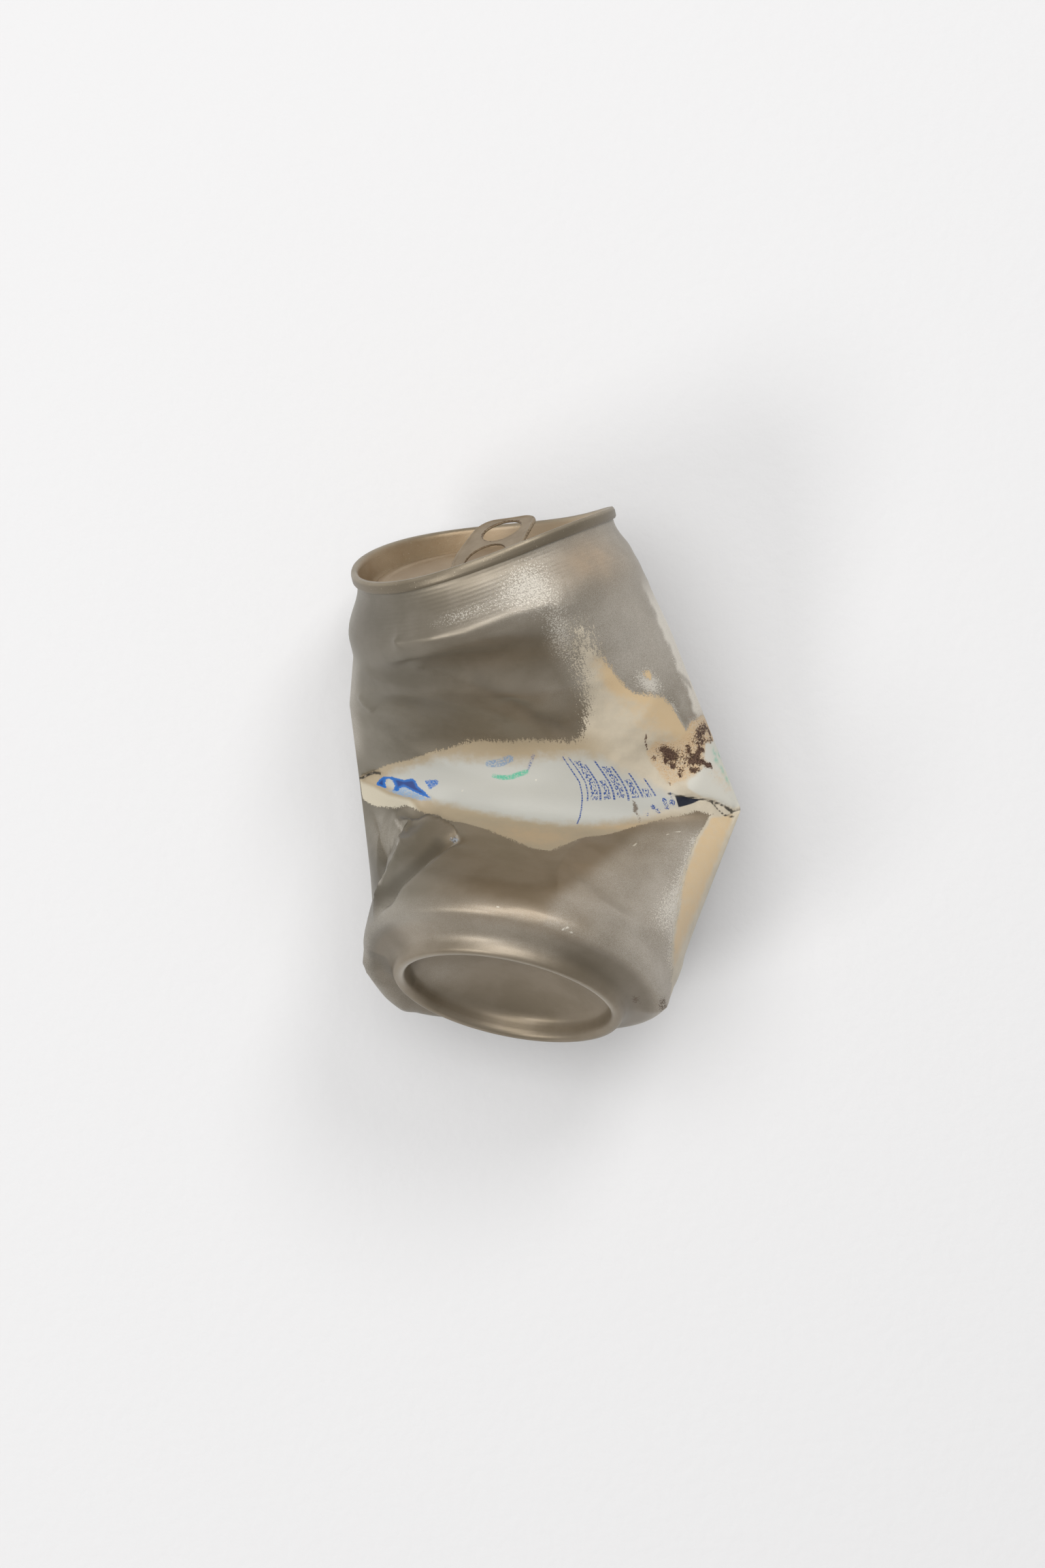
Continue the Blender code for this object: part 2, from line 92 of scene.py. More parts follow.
TAB_SWING, TAB_LIFT = 31.0, 22.0
TAB_RING_END, TAB_NOSE = 15.8, -6.4
TAB_HALF_WIDTH, TAB_CORNER = 8.4, 4.6
HINGE, HINGE_RISE = -3.6, 1.5
FINGER_CENTRE, FINGER_HALF_WIDTH, FINGER_HALF_LENGTH = 10.2, 4.6, 4.0
WINDOW_RADIUS, TONGUE_RADIUS = 4.7, 3.7
TAB_SEAT, TAB_RIM = 0.1, 0.45

# ---- how it was crushed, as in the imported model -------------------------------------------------
BOX_MIDDLE = (5.02, 1.91, 0.0)
FOLD_HEIGHT = 55.0
BASE_RIGID_TO = 12.0
LID_RIGID_FROM = 104.0
STAND_CENTRE, BASE_TURN, BASE_LEAN = (-3.4, -46.3, 49.3), -12.5, 22.0
RIM_CENTRE, LID_TURN, LID_LEAN = (-8.7, 52.8, 41.0), 13.4, 9.1
LEFT_EAR = (-35.9, 1.3, 26.0)
LEFT_SIDE_HEIGHT, LEFT_SIDE = 83.0, (-37.8, 17.5, 33.0)
RIGHT_EAR = (48.0, -5.6, 27.0)
VALLEY = (7.0, -7.5, 36.0)
VALLEY_TOP_HEIGHT, VALLEY_TOP = 67.5, (4.5, 5.5, 39.5)
BACK = (6.0, -2.5, -4.0)
WAIST_HEIGHT, WAIST = 17.0, (-32.3, -24.4, 42.0)
SIDE_BULGE_HEIGHT, SIDE_BULGE = 96.0, (32.2, 33.6, 37.0)
RIGHT_HEEL_HEIGHT, RIGHT_HEEL = 17.0, (34.4, -38.4, 43.5)
VALLEY_ROUNDING = 5.0
EAR_ROUNDING = 0.6
EAR_REACH = 22.0
RIM_TWIST = 1.9
RIM_LIFT, RIM_LIFT_ANGLE = 0.9, -12.0
HEEL_SAGS = ((222.0, 6.0, 5.0), (2.0, 8.0, 1.3))  # middle angle, narrowness, depth

# Dents: angle and height of the middle, half-length, half-width, slant of the length from level,
# and depth (below 0 it stands proud).
DENTS = (
    (100, 97, 34, 9, -8, 2.6), (62, 84, 26, 9, 38, 1.8), (120, 76, 24, 11, -25, 2.2),
    (48, 66, 14, 7, 20, 1.6), (140, 41, 16, 5, 62, 2.4), (155, 33, 14, 3.5, 70, 1.8),
    (60, 24, 14, 6, -30, 1.2), (2, 109.5, 9, 5, 0, 0.9), (0, 12.5, 13, 6, 0, -1),
)

# Creases: points (angle, height) along one, how far it stands proud (below 0 it is sunken), and how
# wide its flank is on the left and on the right of someone walking along it.
CREASES = (
    (((137, 108.5), (132, 109.5), (121, 109), (104, 108.2), (88, 108.6), (74, 108), (64, 106),
      (52, 106.5)),
     1.2, 2.2, 0.8),
    (((134, 102), (120, 96), (106, 91.5), (96, 88.5), (84, 84)), 0.8, 3.5, 3),
    (((97, 88), (91, 83), (85, 78), (77, 74.5)), -0.7, 2, 3.5),
    (((163, 89), (157, 84.5), (151, 81)), 0.5, 2, 1.5),
    (((119, 37), (121, 34), (127, 27.5), (133, 21), (140, 15.5), (149, 10), (162, 7)), -1.8, 0.5, 3.2),
    (((119, 36), (122, 32.5), (129, 26), (135, 19.5), (142, 14), (150, 9)), 0.9, 3.5, 0.5),
    (((143, 46), (141.5, 41), (141, 35), (142.5, 29), (146, 22.5), (151, 17), (157, 11.5), (165, 7)),
     3.2, 3.2, 2.6),
    (((118, 35), (121.5, 40), (126, 42.6), (133, 44), (140, 44), (147, 42)), 2.6, 4.5, 0.9),
    (((162, 47), (158, 38), (158, 30), (160, 22), (166, 14)), -0.9, 2.6, 1.8),
    (((188, 7.2), (200, 5.8), (210, 4.8), (222, 5.2), (234, 5.8)), 1.3, 2.2, 0.8),
    (((76, 50), (82, 38), (84, 26), (80, 13)), 0.8, 4, 2.5),
    (((136, 52.5), (127, 51), (122, 48.3), (117, 47)), -0.6, 1, 1.5),
    (((172, 55.2), (163, 57), (157, 58.6), (150, 59)), -1.2, 0.7, 0.7),
    (((48, 59.7), (40, 58.8), (30, 57.8), (22, 56.4), (16, 55), (4, 55.2)), -1.2, 0.7, 0.7),
    (((30, 57.4), (27, 55.4), (22, 54.3), (10, 53)), -0.5, 0.6, 0.8),
)
PINCHES = (  # angle, height, reach, rise
    (133, 109.5, 2, 1.2), (121, 36, 1, -0.8), (3, 7, 5, 1.5), (74, 77, 7, -0.9),
)

# ---- mesh density: counts, and steps in millimetres ---------------------------------------------
FRONT_FROM, FRONT_TO = -8.0, 236.0
FRONT_COLUMNS, BACK_COLUMNS = 351, 54
INNER_EVERY = 3
EXTRA_THICK, DOME_THICK = 0.45, 0.6  # the drawn shell is thicker than the sheet, away from its edge
PROFILE_STEP, ROW_STEP, FOLD_ROW_STEP, DOME_ROW_STEP = 0.3, 0.62, 0.3, 1.5
SOFTNESS, HEEL_SOFTNESS = 0.45, 1.8
LID_AROUND, LID_STEP, LID_SOFTNESS = 216, 0.45, 0.2
TAB_VOXEL, TAB_SMOOTHING = 0.14, 4


def smoothstep(low, high, x):
    t = np.clip((x - low) / (high - low), 0.0, 1.0)
    return t * t * (3.0 - 2.0 * t)


class EndFrame:
    """A round end of the can: its axis, its sideways direction and its front direction."""

    def __init__(self, centre, turn, lean, outward, height):
        turn, lean = math.radians(turn), math.radians(lean)
        self.side = np.array([math.cos(turn), math.sin(turn), 0.0])
        plan = np.array([-math.sin(turn), math.cos(turn), 0.0])
        up = np.array([0.0, 0.0, 1.0])
        self.axis = plan * math.cos(lean) + up * math.sin(lean) * outward
        self.front = np.cross(self.side, self.axis)
        self.centre = np.array(centre)
        self.height = height

    def at(self, height, side, front):
        middle = self.centre + (height - self.height) * self.axis
        return middle + side * self.side + front * self.front


BASE = EndFrame(STAND_CENTRE, BASE_TURN, BASE_LEAN, -1.0, 0.0)
LID = EndFrame(RIM_CENTRE, LID_TURN, LID_LEAN, 1.0, HEIGHT)


def guide(side, front, knots):
    """The heights and points of one line that runs along the wall, rigid at both ends."""
    reach = 40.0
    heights = [-reach, BASE_RIGID_TO] + [knot[0] for knot in knots] + [LID_RIGID_FROM, HEIGHT + reach]
    points = [BASE.at(-reach, side, front), BASE.at(BASE_RIGID_TO, side, front)]
    points += [np.array(knot[1]) for knot in knots]
    points += [LID.at(LID_RIGID_FROM, side, front), LID.at(HEIGHT + reach, side, front)]
    return np.array(heights), np.array(points)


LEFT_KNOTS = [(WAIST_HEIGHT, WAIST), (FOLD_HEIGHT, LEFT_EAR), (LEFT_SIDE_HEIGHT, LEFT_SIDE)]
RIGHT_KNOTS = [(RIGHT_HEEL_HEIGHT, RIGHT_HEEL), (FOLD_HEIGHT, RIGHT_EAR), (SIDE_BULGE_HEIGHT, SIDE_BULGE)]
LEFT_LINE = guide(-WALL_RADIUS, 0.0, LEFT_KNOTS)
RIGHT_LINE = guide(WALL_RADIUS, 0.0, RIGHT_KNOTS)
FRONT_LINE = guide(0.0, WALL_RADIUS, [(FOLD_HEIGHT, VALLEY), (VALLEY_TOP_HEIGHT, VALLEY_TOP)])
BACK_LINE = guide(0.0, -WALL_RADIUS, [(FOLD_HEIGHT, BACK)])


def along(line, height, rounding):
    """A point on a guide line, with its corners rounded over that many millimetres each way."""
    heights, points = line
    offsets = np.linspace(-1.0, 1.0, 9)
    total = np.zeros(np.shape(height) + (3,))
    for offset in offsets:
        at = height + offset * rounding
        total += np.stack([np.interp(at, heights, points[:, axis]) for axis in range(3)], axis=-1)
    return total / len(offsets)


def folded(radius, angle, height):
    """The folded can without its small dents."""
    across, deep = np.cos(angle), np.abs(np.sin(angle))
    loose = smoothstep(BASE_RIGID_TO, BASE_RIGID_TO + 10.0, height)
    loose *= 1.0 - smoothstep(LID_RIGID_FROM - 10.0, LID_RIGID_FROM, height)
    left = along(LEFT_LINE, height, EAR_ROUNDING)
    right = along(RIGHT_LINE, height, EAR_ROUNDING)
    middle, half = (left + right) / 2.0, (right - left) / 2.0
    front = along(FRONT_LINE, height, VALLEY_ROUNDING) - middle
    back = along(BACK_LINE, height, VALLEY_ROUNDING) - middle

    near_fold = np.exp(-((height - FOLD_HEIGHT) / EAR_REACH) ** 2) * loose
    front_swell = deep ** (1.0 + 0.75 * near_fold)
    back_swell = deep ** (1.0 + 0.35 * near_fold)
    is_front = (np.sin(angle) >= 0.0)[..., None]
    swell = np.where(is_front, front_swell[..., None] * front, back_swell[..., None] * back)
    point = middle + (radius / WALL_RADIUS)[..., None] * (across[..., None] * half + swell)

    twist = RIM_TWIST * (radius / SEAM_RADIUS) ** 2 * np.sin(2.0 * angle)
    twist = twist * smoothstep(SHOULDER_HEIGHT - 12.0, HEIGHT - 6.0, height)
    lift = RIM_LIFT * np.clip(np.cos(angle - math.radians(RIM_LIFT_ANGLE)), 0.0, 1.0) ** 8
    twist = twist + lift * (radius / SEAM_RADIUS) ** 2 * smoothstep(SHOULDER_HEIGHT, HEIGHT - 3.0, height)
    point = point + twist[..., None] * LID.axis
    sag = sum(
        depth * np.clip(np.cos(angle - math.radians(middle)), 0.0, 1.0) ** narrowness
        for middle, narrowness, depth in HEEL_SAGS
    )
    sag = sag * smoothstep(25.0, 31.5, radius) * (1.0 - smoothstep(8.0, 26.0, height))
    return point - sag[..., None] * BASE.axis


def turned(angle, at_angle):
    """Millimetres round the wall from a place at at_angle degrees, to the right of the front."""
    turn = (angle - np.radians(at_angle) + math.pi) % (2.0 * math.pi) - math.pi
    return -turn * WALL_RADIUS


def dent_depth(angle, height):
    """How far the dents push the wall in, at an angle and a height of the round can."""
    depth = np.zeros_like(height)
    for at_angle, at_height, length, width, slant, push in DENTS:
        level, rise = turned(angle, at_angle), height - at_height
        c, s = math.cos(math.radians(slant)), math.sin(math.radians(slant))
        reach = ((level * c + rise * s) / length) ** 2 + ((rise * c - level * s) / width) ** 2
        depth += push * np.clip(1.0 - reach, 0.0, 1.0) ** 1.5
    return depth


def crush(x, y, height):
    """Where a point of the round can ends up: x to its side, y to its front, height up its axis."""
    x, y, height = (np.asarray(value, float) for value in np.broadcast_arrays(x, y, height))
    radius, angle = np.hypot(x, y), np.arctan2(y, x)
    inside = np.clip(WALL_RADIUS - radius, 0.0, SHEET)
    loose = smoothstep(BASE_RIGID_TO, BASE_RIGID_TO + 8.0, height)
    loose *= 1.0 - smoothstep(SHOULDER_HEIGHT - 8.0, SHOULDER_HEIGHT, height)
    point = folded(radius + inside * loose, angle, height)

    step = 0.02
    wall = np.full_like(radius, WALL_RADIUS)
    round_it = folded(wall, angle + step, height) - folded(wall, angle - step, height)
    up_it = folded(wall, angle, height + step) - folded(wall, angle, height - step)
    outward = np.cross(up_it, round_it)
    outward /= np.linalg.norm(outward, axis=-1)[..., None]
    soft = smoothstep(HEEL_TOP - 3.0, HEEL_TOP + 3.0, height)
    soft *= 1.0 - smoothstep(SHOULDER_HEIGHT + 3.0, SHOULDER_HEIGHT + 8.0, height)
    point = point - (dent_depth(angle, height) * soft + inside * loose)[..., None] * outward
    point[..., 2] = np.maximum(point[..., 2], inside)
    return point


# ---- places on the sheet ------------------------------------------------------------------------
FAR = 1e9


def to_sheet(places):
    """Places (angle, height) as millimetres on the flat sheet: x to the right of the front, y up."""
    return np.array([(math.radians(90.0 - angle) * WALL_RADIUS, height) for angle, height in places])


def to_path(sheet, places):
    """Distance to a path of places, the side of it each point is on (1 left) and how far along."""
    path = to_sheet(places)
    best = np.full(sheet.shape[:-1], FAR)
    side, share = np.zeros_like(best), np.zeros_like(best)
    steps = np.linalg.norm(np.diff(path, axis=0), axis=1)
    starts = np.concatenate([[0.0], np.cumsum(steps)])
    for i, (a, b) in enumerate(zip(path, path[1:])):
        way = b - a
        t = np.clip(((sheet - a) @ way) / (way @ way), 0.0, 1.0)
        distance = np.linalg.norm(sheet - a - t[..., None] * way, axis=-1)
        near = distance < best
        cross = way[0] * (sheet[..., 1] - a[1]) - way[1] * (sheet[..., 0] - a[0])
        best = np.where(near, distance, best)
        side = np.where(near, np.sign(cross), side)
        share = np.where(near, (starts[i] + t * steps[i]) / starts[-1], share)
    return best, side, share


def depth_in(sheet, places):
    """How deep each point lies inside a closed outline of places; below 0 it is outside."""
    places = [*places, places[0]]
    path, edge = to_sheet(places), to_path(sheet, places)[0]
    inside = np.zeros(edge.shape, bool)
    for a, b in zip(path, path[1:]):
        spans = (a[1] > sheet[..., 1]) != (b[1] > sheet[..., 1])
        rise = b[1] - a[1] or 1.0 / FAR
        inside ^= spans & (sheet[..., 0] < a[0] + (sheet[..., 1] - a[1]) / rise * (b[0] - a[0]))
    return np.where(inside, edge, -edge)


def within(sheet, places, half):
    """How deep each point lies inside a stroke of that half-width along a path of places."""
    return half - to_path(sheet, places)[0]


def stroke(sheet, places, half, low, high):
    """A soft stroke along a path: its share rises from 0 to 1 between two depths in it."""
    return smoothstep(low, high, within(sheet, places, half))


def clump(sheet, angle, height, across, up):
    """A soft spot: 1 in its middle, fading out over its half-sizes."""
    off = (sheet - to_sheet([(angle, height)])[0]) / (across, up)
    return np.exp(-(off ** 2).sum(axis=-1))


def ramp(value, low, high):
    return smoothstep(low, high, value) if high > low else 1.0 - smoothstep(high, low, value)


def crease_rise(sheet):
    """How far the creases and pinches lift the wall."""
    rise = np.zeros(sheet.shape[:-1])
    for places, proud, left, right in CREASES:
        distance, side, share = to_path(sheet, places)
        fade = smoothstep(0.0, 0.18, share) * (1.0 - smoothstep(0.8, 1.0, share))
        rise += proud * fade * np.exp(-distance / np.where(side > 0.0, left, right))
    for angle, height, reach, proud in PINCHES:
        distance = np.linalg.norm(sheet - to_sheet([(angle, height)])[0], axis=-1)
        rise += proud * np.exp(-distance / reach)
    return rise


# ---- profiles ---------------------------------------------------------------------------------
def arc(centre, radius, start, end, steps):
    angles = np.radians(np.linspace(start, end, steps))
    return [(centre[0] + radius * math.cos(a), centre[1] + radius * math.sin(a)) for a in angles]


def body_corners():
    """The outside of the cup, from the edge of the neck down the wall to the middle of the dome."""
    neck_top = HEIGHT - 2.0 * SHEET - 0.2
    points = [(NECK_RADIUS, neck_top), (NECK_RADIUS, HEIGHT - SEAM_DEPTH - 0.6)]
    drop = points[-1][1] - SHOULDER_HEIGHT
    for share in np.linspace(0.0, 1.0, 20)[1:]:
        swell = smoothstep(0.0, 1.0, share) * (WALL_RADIUS - NECK_RADIUS)
        points.append((NECK_RADIUS + swell, points[1][1] - share * drop))
    points += [(WALL_RADIUS, HEEL_TOP - 1.8), (32.95, 6.8), (32.3, 6.1)]
    points += [(29.0, 4.9), (27.0, 4.1), (26.0, 3.3)]
    points += arc((STAND_RADIUS, NOSE_RADIUS), NOSE_RADIUS, 15.0, -180.0, 14)
    points += [(22.3, 3.6)]
    sink = DOME_SPHERE - math.sqrt(DOME_SPHERE ** 2 - DOME_EDGE_RADIUS ** 2)
    points += [(21.9, DOME_HEIGHT - sink - 0.8)]
    for radius in np.linspace(DOME_EDGE_RADIUS, 1.0, 14):
        sink = DOME_SPHERE - math.sqrt(DOME_SPHERE ** 2 - radius ** 2)
        points.append((float(radius), DOME_HEIGHT - sink))
    return points + [(0.0, DOME_HEIGHT)]


def lid_corners():
    """The outside of the lid, from the lower edge of the seam over the rim to the rivet's head."""
    top, bottom = HEIGHT, HEIGHT - SEAM_DEPTH
    head_base = PANEL_HEIGHT + RIVET_RISE
    return [
        (SEAM_RADIUS - 0.25, bottom), (SEAM_RADIUS, bottom + 0.3), (SEAM_RADIUS, top - 0.7),
        (SEAM_RADIUS - 0.3, top), (CHUCK_RADIUS + 0.5, top), (CHUCK_RADIUS, top - 0.6),
        (CHUCK_RADIUS - 0.6, COUNTERSINK_HEIGHT + 1.2), (CHUCK_RADIUS - 1.0, COUNTERSINK_HEIGHT + 0.3),
        (CHUCK_RADIUS - 1.5, COUNTERSINK_HEIGHT), (CHUCK_RADIUS - 2.0, COUNTERSINK_HEIGHT + 0.4),
        (PANEL_RADIUS + 0.3, PANEL_HEIGHT - 0.4), (PANEL_RADIUS - 0.3, PANEL_HEIGHT),
        (23.4, PANEL_HEIGHT), (22.6, PANEL_HEIGHT - 0.3), (8.0, PANEL_HEIGHT - 0.3),
        (5.0, PANEL_HEIGHT), (RIVET_STEM + 0.3, PANEL_HEIGHT), (RIVET_STEM, PANEL_HEIGHT + 0.3),
        (RIVET_STEM, head_base), (RIVET_HEAD, head_base), (RIVET_HEAD, head_base + HEAD_THICK - 0.2),
        (RIVET_HEAD - 0.4, head_base + HEAD_THICK), (0.9, head_base + HEAD_THICK - 0.2),
        (0.0, head_base + HEAD_THICK - 0.2),
    ]


def rounded(corners, step, softness):
    """The corners joined by a line with points step apart, rounded over softness each way."""
    fine = 0.05
    points = np.array(corners)
    lengths = np.concatenate([[0.0], np.cumsum(np.linalg.norm(np.diff(points, axis=0), axis=1))])
    at = np.arange(0.0, lengths[-1], fine)
    dense = np.stack([np.interp(at, lengths, points[:, k]) for k in (0, 1)], axis=1)
    half = max(1, int(round(softness / fine)))
    padded = np.concatenate([np.repeat(dense[:1], half, 0), dense, np.repeat(dense[-1:], half, 0)])
    kernel = np.ones(2 * half + 1) / (2 * half + 1)
    soft = np.stack([np.convolve(padded[:, k], kernel, "valid") for k in (0, 1)], axis=1)
    soft[0], soft[-1] = points[0], points[-1]
    count = int(round(lengths[-1] / step)) + 1
    places = np.linspace(0.0, len(soft) - 1.0, count)
    return np.stack([np.interp(places, np.arange(len(soft)), soft[:, k]) for k in (0, 1)], axis=1)


# ---- meshes -----------------------------------------------------------------------------------
def new_object(name, mesh):
    made = bpy.data.objects.new(name, mesh)
    bpy.context.scene.collection.objects.link(made)
    return made


def make_mesh(name, points, faces):
    mesh = bpy.data.meshes.new(name)
    mesh.from_pydata(np.asarray(points).tolist(), [], [tuple(face) for face in faces])
    return mesh


def store(mesh, name, values):
    """Keep one number for each vertex of the mesh, for its material to read."""
    attribute = mesh.attributes.new(name, "FLOAT", "POINT")
    attribute.data.foreach_set("value", np.asarray(values, np.float32).ravel())


def columns():
    front = np.linspace(FRONT_FROM, FRONT_TO, FRONT_COLUMNS, endpoint=False)
    back = np.linspace(FRONT_TO, FRONT_FROM + 360.0, BACK_COLUMNS, endpoint=False)
    return np.radians(np.concatenate([front, back]))


def grid_normals(points):
    """Outward directions of a closed grid of points (rows down the profile, columns round)."""
    around = np.roll(points, -1, axis=1) - np.roll(points, 1, axis=1)
    down = np.gradient(points, axis=0)
    normal = np.cross(around, -down)
    normal[-1] = normal[-2]
    return -normal / np.maximum(np.linalg.norm(normal, axis=-1)[..., None], 1e-9)


def body_rows():
    """The cup's profile: fine down to the chime, coarser over the dome."""
    fine = rounded(body_corners(), PROFILE_STEP, SOFTNESS)
    soft = rounded(body_corners(), PROFILE_STEP, HEEL_SOFTNESS)
    heel = smoothstep(25.2, 26.6, fine[:, 0]) * (1.0 - smoothstep(10.0, 13.0, fine[:, 1]))
    fine = fine + heel[:, None] * (soft - fine)
    keep, run = [0], 0.0
    for i in range(1, len(fine) - 1):
        run += float(np.linalg.norm(fine[i] - fine[i - 1]))
        in_dome = fine[i][1] > 2.0 and fine[i][0] < 21.6
        by_fold = FOLD_HEIGHT - 2.5 < fine[i][1] < FOLD_HEIGHT + 5.0
        if run >= (DOME_ROW_STEP if in_dome else FOLD_ROW_STEP if by_fold else ROW_STEP):
            keep.append(i)
            run = 0.0
    extra = (len(keep) - 1) % INNER_EVERY
    if extra:
        del keep[-extra:]
    return fine[keep]


def build_shell():
    """The points of the cup's two skins and of their middles, with the places of the outer skin."""
    rows, angles = body_rows(), columns()
    radius, angle = np.meshgrid(rows[:, 0], angles, indexing="ij")
    height = np.repeat(rows[:, 1:2], len(angles), axis=1)
    outer = crush(radius * np.cos(angle), radius * np.sin(angle), height)
    sheet = np.stack([turned(angle, 90.0), height], axis=-1)
    normal = grid_normals(outer)
    wall = smoothstep(1.0, 8.0, height) * smoothstep(24.0, 28.0, radius)
    outer = outer + (crease_rise(sheet) * wall)[..., None] * normal
    normal = grid_normals(outer)

    thin = SHEET + EXTRA_THICK * smoothstep(HEIGHT - 4.0, LID_RIGID_FROM, height)
    inner = (outer - thin[..., None] * normal)[::INNER_EVERY, ::INNER_EVERY]
    tip_outer = crush(0.0, 0.0, DOME_HEIGHT)
    tip_inner = tip_outer + DOME_THICK * BASE.axis
    return outer, inner, tip_outer, tip_inner, sheet, radius


def shell_faces(outer_shape, inner_shape, outer_tip, inner_start, inner_tip):
    """The faces of both skins, of the fans at their middles and of the strip round the neck's edge."""
    (rows, cols), (inner_rows, inner_cols) = outer_shape, inner_shape

    def outside(i, j):
        return i * cols + j % cols

    def inside(i, j):
        return inner_start + i * inner_cols + j % inner_cols

    faces = [
        (outside(i, j), outside(i, j + 1), outside(i + 1, j + 1), outside(i + 1, j))
        for i in range(rows - 1) for j in range(cols)
    ]
    faces += [(outside(rows - 1, j), outside(rows - 1, j + 1), outer_tip) for j in range(cols)]
    faces += [
        (inside(i, j + 1), inside(i, j), inside(i + 1, j), inside(i + 1, j + 1))
        for i in range(inner_rows - 1) for j in range(inner_cols)
    ]
    for j in range(inner_cols):
        faces.append((inside(inner_rows - 1, j + 1), inside(inner_rows - 1, j), inner_tip))
        first = INNER_EVERY * j
        for k in range(first, first + INNER_EVERY):
            faces.append((outside(0, k + 1), outside(0, k), inside(0, j)))
        faces.append((outside(0, first + INNER_EVERY), inside(0, j), inside(0, j + 1)))
    return faces


def shell_object(look):
    outer, inner, tip_outer, tip_inner, sheet, radius = build_shell()
    points = [outer.reshape(-1, 3), [tip_outer], inner.reshape(-1, 3), [tip_inner]]
    points = np.clip((np.concatenate(points) - BOX_MIDDLE) * MM, *np.array(CAD_BOX))
    outer_count = outer.shape[0] * outer.shape[1]
    inner_start = outer_count + 1
    inner_tip = len(points) - 1
    faces = shell_faces(outer.shape[:2], inner.shape[:2], outer_count, inner_start, inner_tip)
    mesh = make_mesh("crushed_shell", points, faces)
    for name, values in shell_fields(sheet, radius).items():
        rest = np.zeros(len(points) - outer_count)
        store(mesh, name, np.concatenate([values.ravel(), rest]))
    flat = np.zeros((len(points), 3), np.float32)
    flat[:outer_count, :2] = sheet.reshape(-1, 2)
    attribute = mesh.attributes.new("sheet", "FLOAT_VECTOR", "POINT")
    attribute.data.foreach_set("vector", flat.ravel())
    lining = np.ones(len(points))
    lining[:inner_start] = 0.0
    store(mesh, "lining", lining)
    mesh.materials.append(look)
    mesh.shade_smooth()
    return new_object("crushed_shell", mesh)


# ---- where paint, label and dirt lie, with painted light and shade ------------------------------
# Closed outlines of places (angle, height). The brown paint is gone inside "label" and "strip", and
# the others lie on what it leaves bare: the label's white ground, the torn patch and the lip at the
# ears, a generic blue wave with a second block and a paler foot, a dark block, and the rust's stain.
OUTLINES = {
    "label": (
        (176, 55.5), (163, 57.5), (155, 60), (150, 61.8), (144, 63.5), (136, 65.4), (128, 67.9),
        (120, 69), (113, 70.8), (100, 71.5), (94, 72.3), (80, 72), (76, 73), (73.5, 76), (71, 80),
        (69, 86), (67.5, 92), (66, 97), (63, 101), (60, 99), (57.5, 95), (55.5, 91.5), (54, 88.5),
        (52.5, 86), (49.5, 84), (43, 83.8), (37.5, 83), (34.5, 80.5), (32.5, 77), (31, 74), (26, 76),
        (10, 77), (-4, 76), (-11, 73), (-9, 69), (-15, 65), (-13, 60), (-18, 56), (-12, 52), (-2, 50),
        (6, 52), (14, 54), (32, 54.5), (40, 56), (50, 55), (58, 53.8), (66, 51.5), (74, 47.5), (80, 44),
        (84, 40), (88, 36.3), (94, 36.6), (102, 40.5), (110, 44.5), (118, 46.2), (125, 47), (128, 49.6),
        (134, 50.2), (140, 49.8), (145, 47.8), (158, 46.8), (174, 48.5),
    ),
    "strip": (
        (34, 55), (35, 52), (37, 48), (36.8, 42), (36, 36), (34, 31), (30.5, 26.5), (28, 21.5), (24, 17),
        (17.5, 14.2), (10, 11.4), (4, 9.5), (-3, 10), (-5, 16), (-3, 24), (-7, 31), (-6, 39), (-11, 46),
        (-9, 52), (-12, 56),
    ),
    "ground": (
        (150, 58.7), (144, 61.5), (136, 64), (128, 66.2), (120, 67.4), (112, 67.2), (104, 67), (97, 67.4),
        (91, 68.4), (84, 69.4), (76, 69.6), (70, 68.4), (64, 65.6), (58, 63.4), (52, 61.8), (46, 60.2),
        (47, 57.2), (56, 55.8), (66, 53.8), (76, 52), (88, 51), (100, 51.4), (115, 52.4), (130, 53.6),
        (142, 53.6), (152, 54.6),
    ),
    "torn": (
        (27.5, 67.3), (24, 68.4), (20, 70.6), (10, 71), (-8, 71), (-8, 56), (14, 55.5), (22, 56.5),
        (28, 58), (35, 59), (41, 61.5), (38, 63), (33, 64.2), (28, 65.6), (22, 65.2), (23, 66.2),
    ),
    "lip": ((176, 54.5), (158, 54), (148, 52.5), (138, 52.5), (134, 50), (145, 47), (158, 46), (176, 47)),
    "wave": (
        (156, 54.7), (153.5, 56.8), (150.5, 58.3), (146, 59), (140, 58.8), (136, 59.8), (134.6, 59.2),
        (133.8, 57.6), (131.5, 56.6), (129, 54.5), (132.5, 54.9), (136.5, 55.8), (140, 56.6), (142, 55.6),
        (143, 54.4), (150, 54.3),
    ),
    "second": ((131, 60), (125.7, 60.7), (125.5, 59.8), (127.5, 58.5), (129.4, 57.2), (130, 58.4)),
    "foot": (
        (141, 57), (136, 55.8), (130, 54.4), (128.3, 56.4), (128.8, 54), (134, 53), (142, 53),
        (150, 53.7), (146, 54.6),
    ),
    "block": ((47.6, 57.2), (47.7, 59.9), (44, 59.6), (40, 58.9), (34, 58.4), (38, 58.1), (42, 57.7)),
    "stain": (
        (52.5, 70.5), (49, 71.8), (40, 71.4), (34, 72.5), (30, 74), (29, 77.5), (22, 78.5), (10, 77.6),
        (-6, 77), (-6, 71), (12, 70.8), (20, 70.4), (25, 67.8), (28, 66), (33, 64.2), (40, 62.8),
        (48, 61.8), (51, 64), (54, 68),
    ),
}
SPOT = (40, 88.3, 1.1)  # a worn spot: its place and radius
NOTCH, NOTCH_HALVES = (147.2, 56.2), (1.495, 1.84)  # the wave's round pale notch

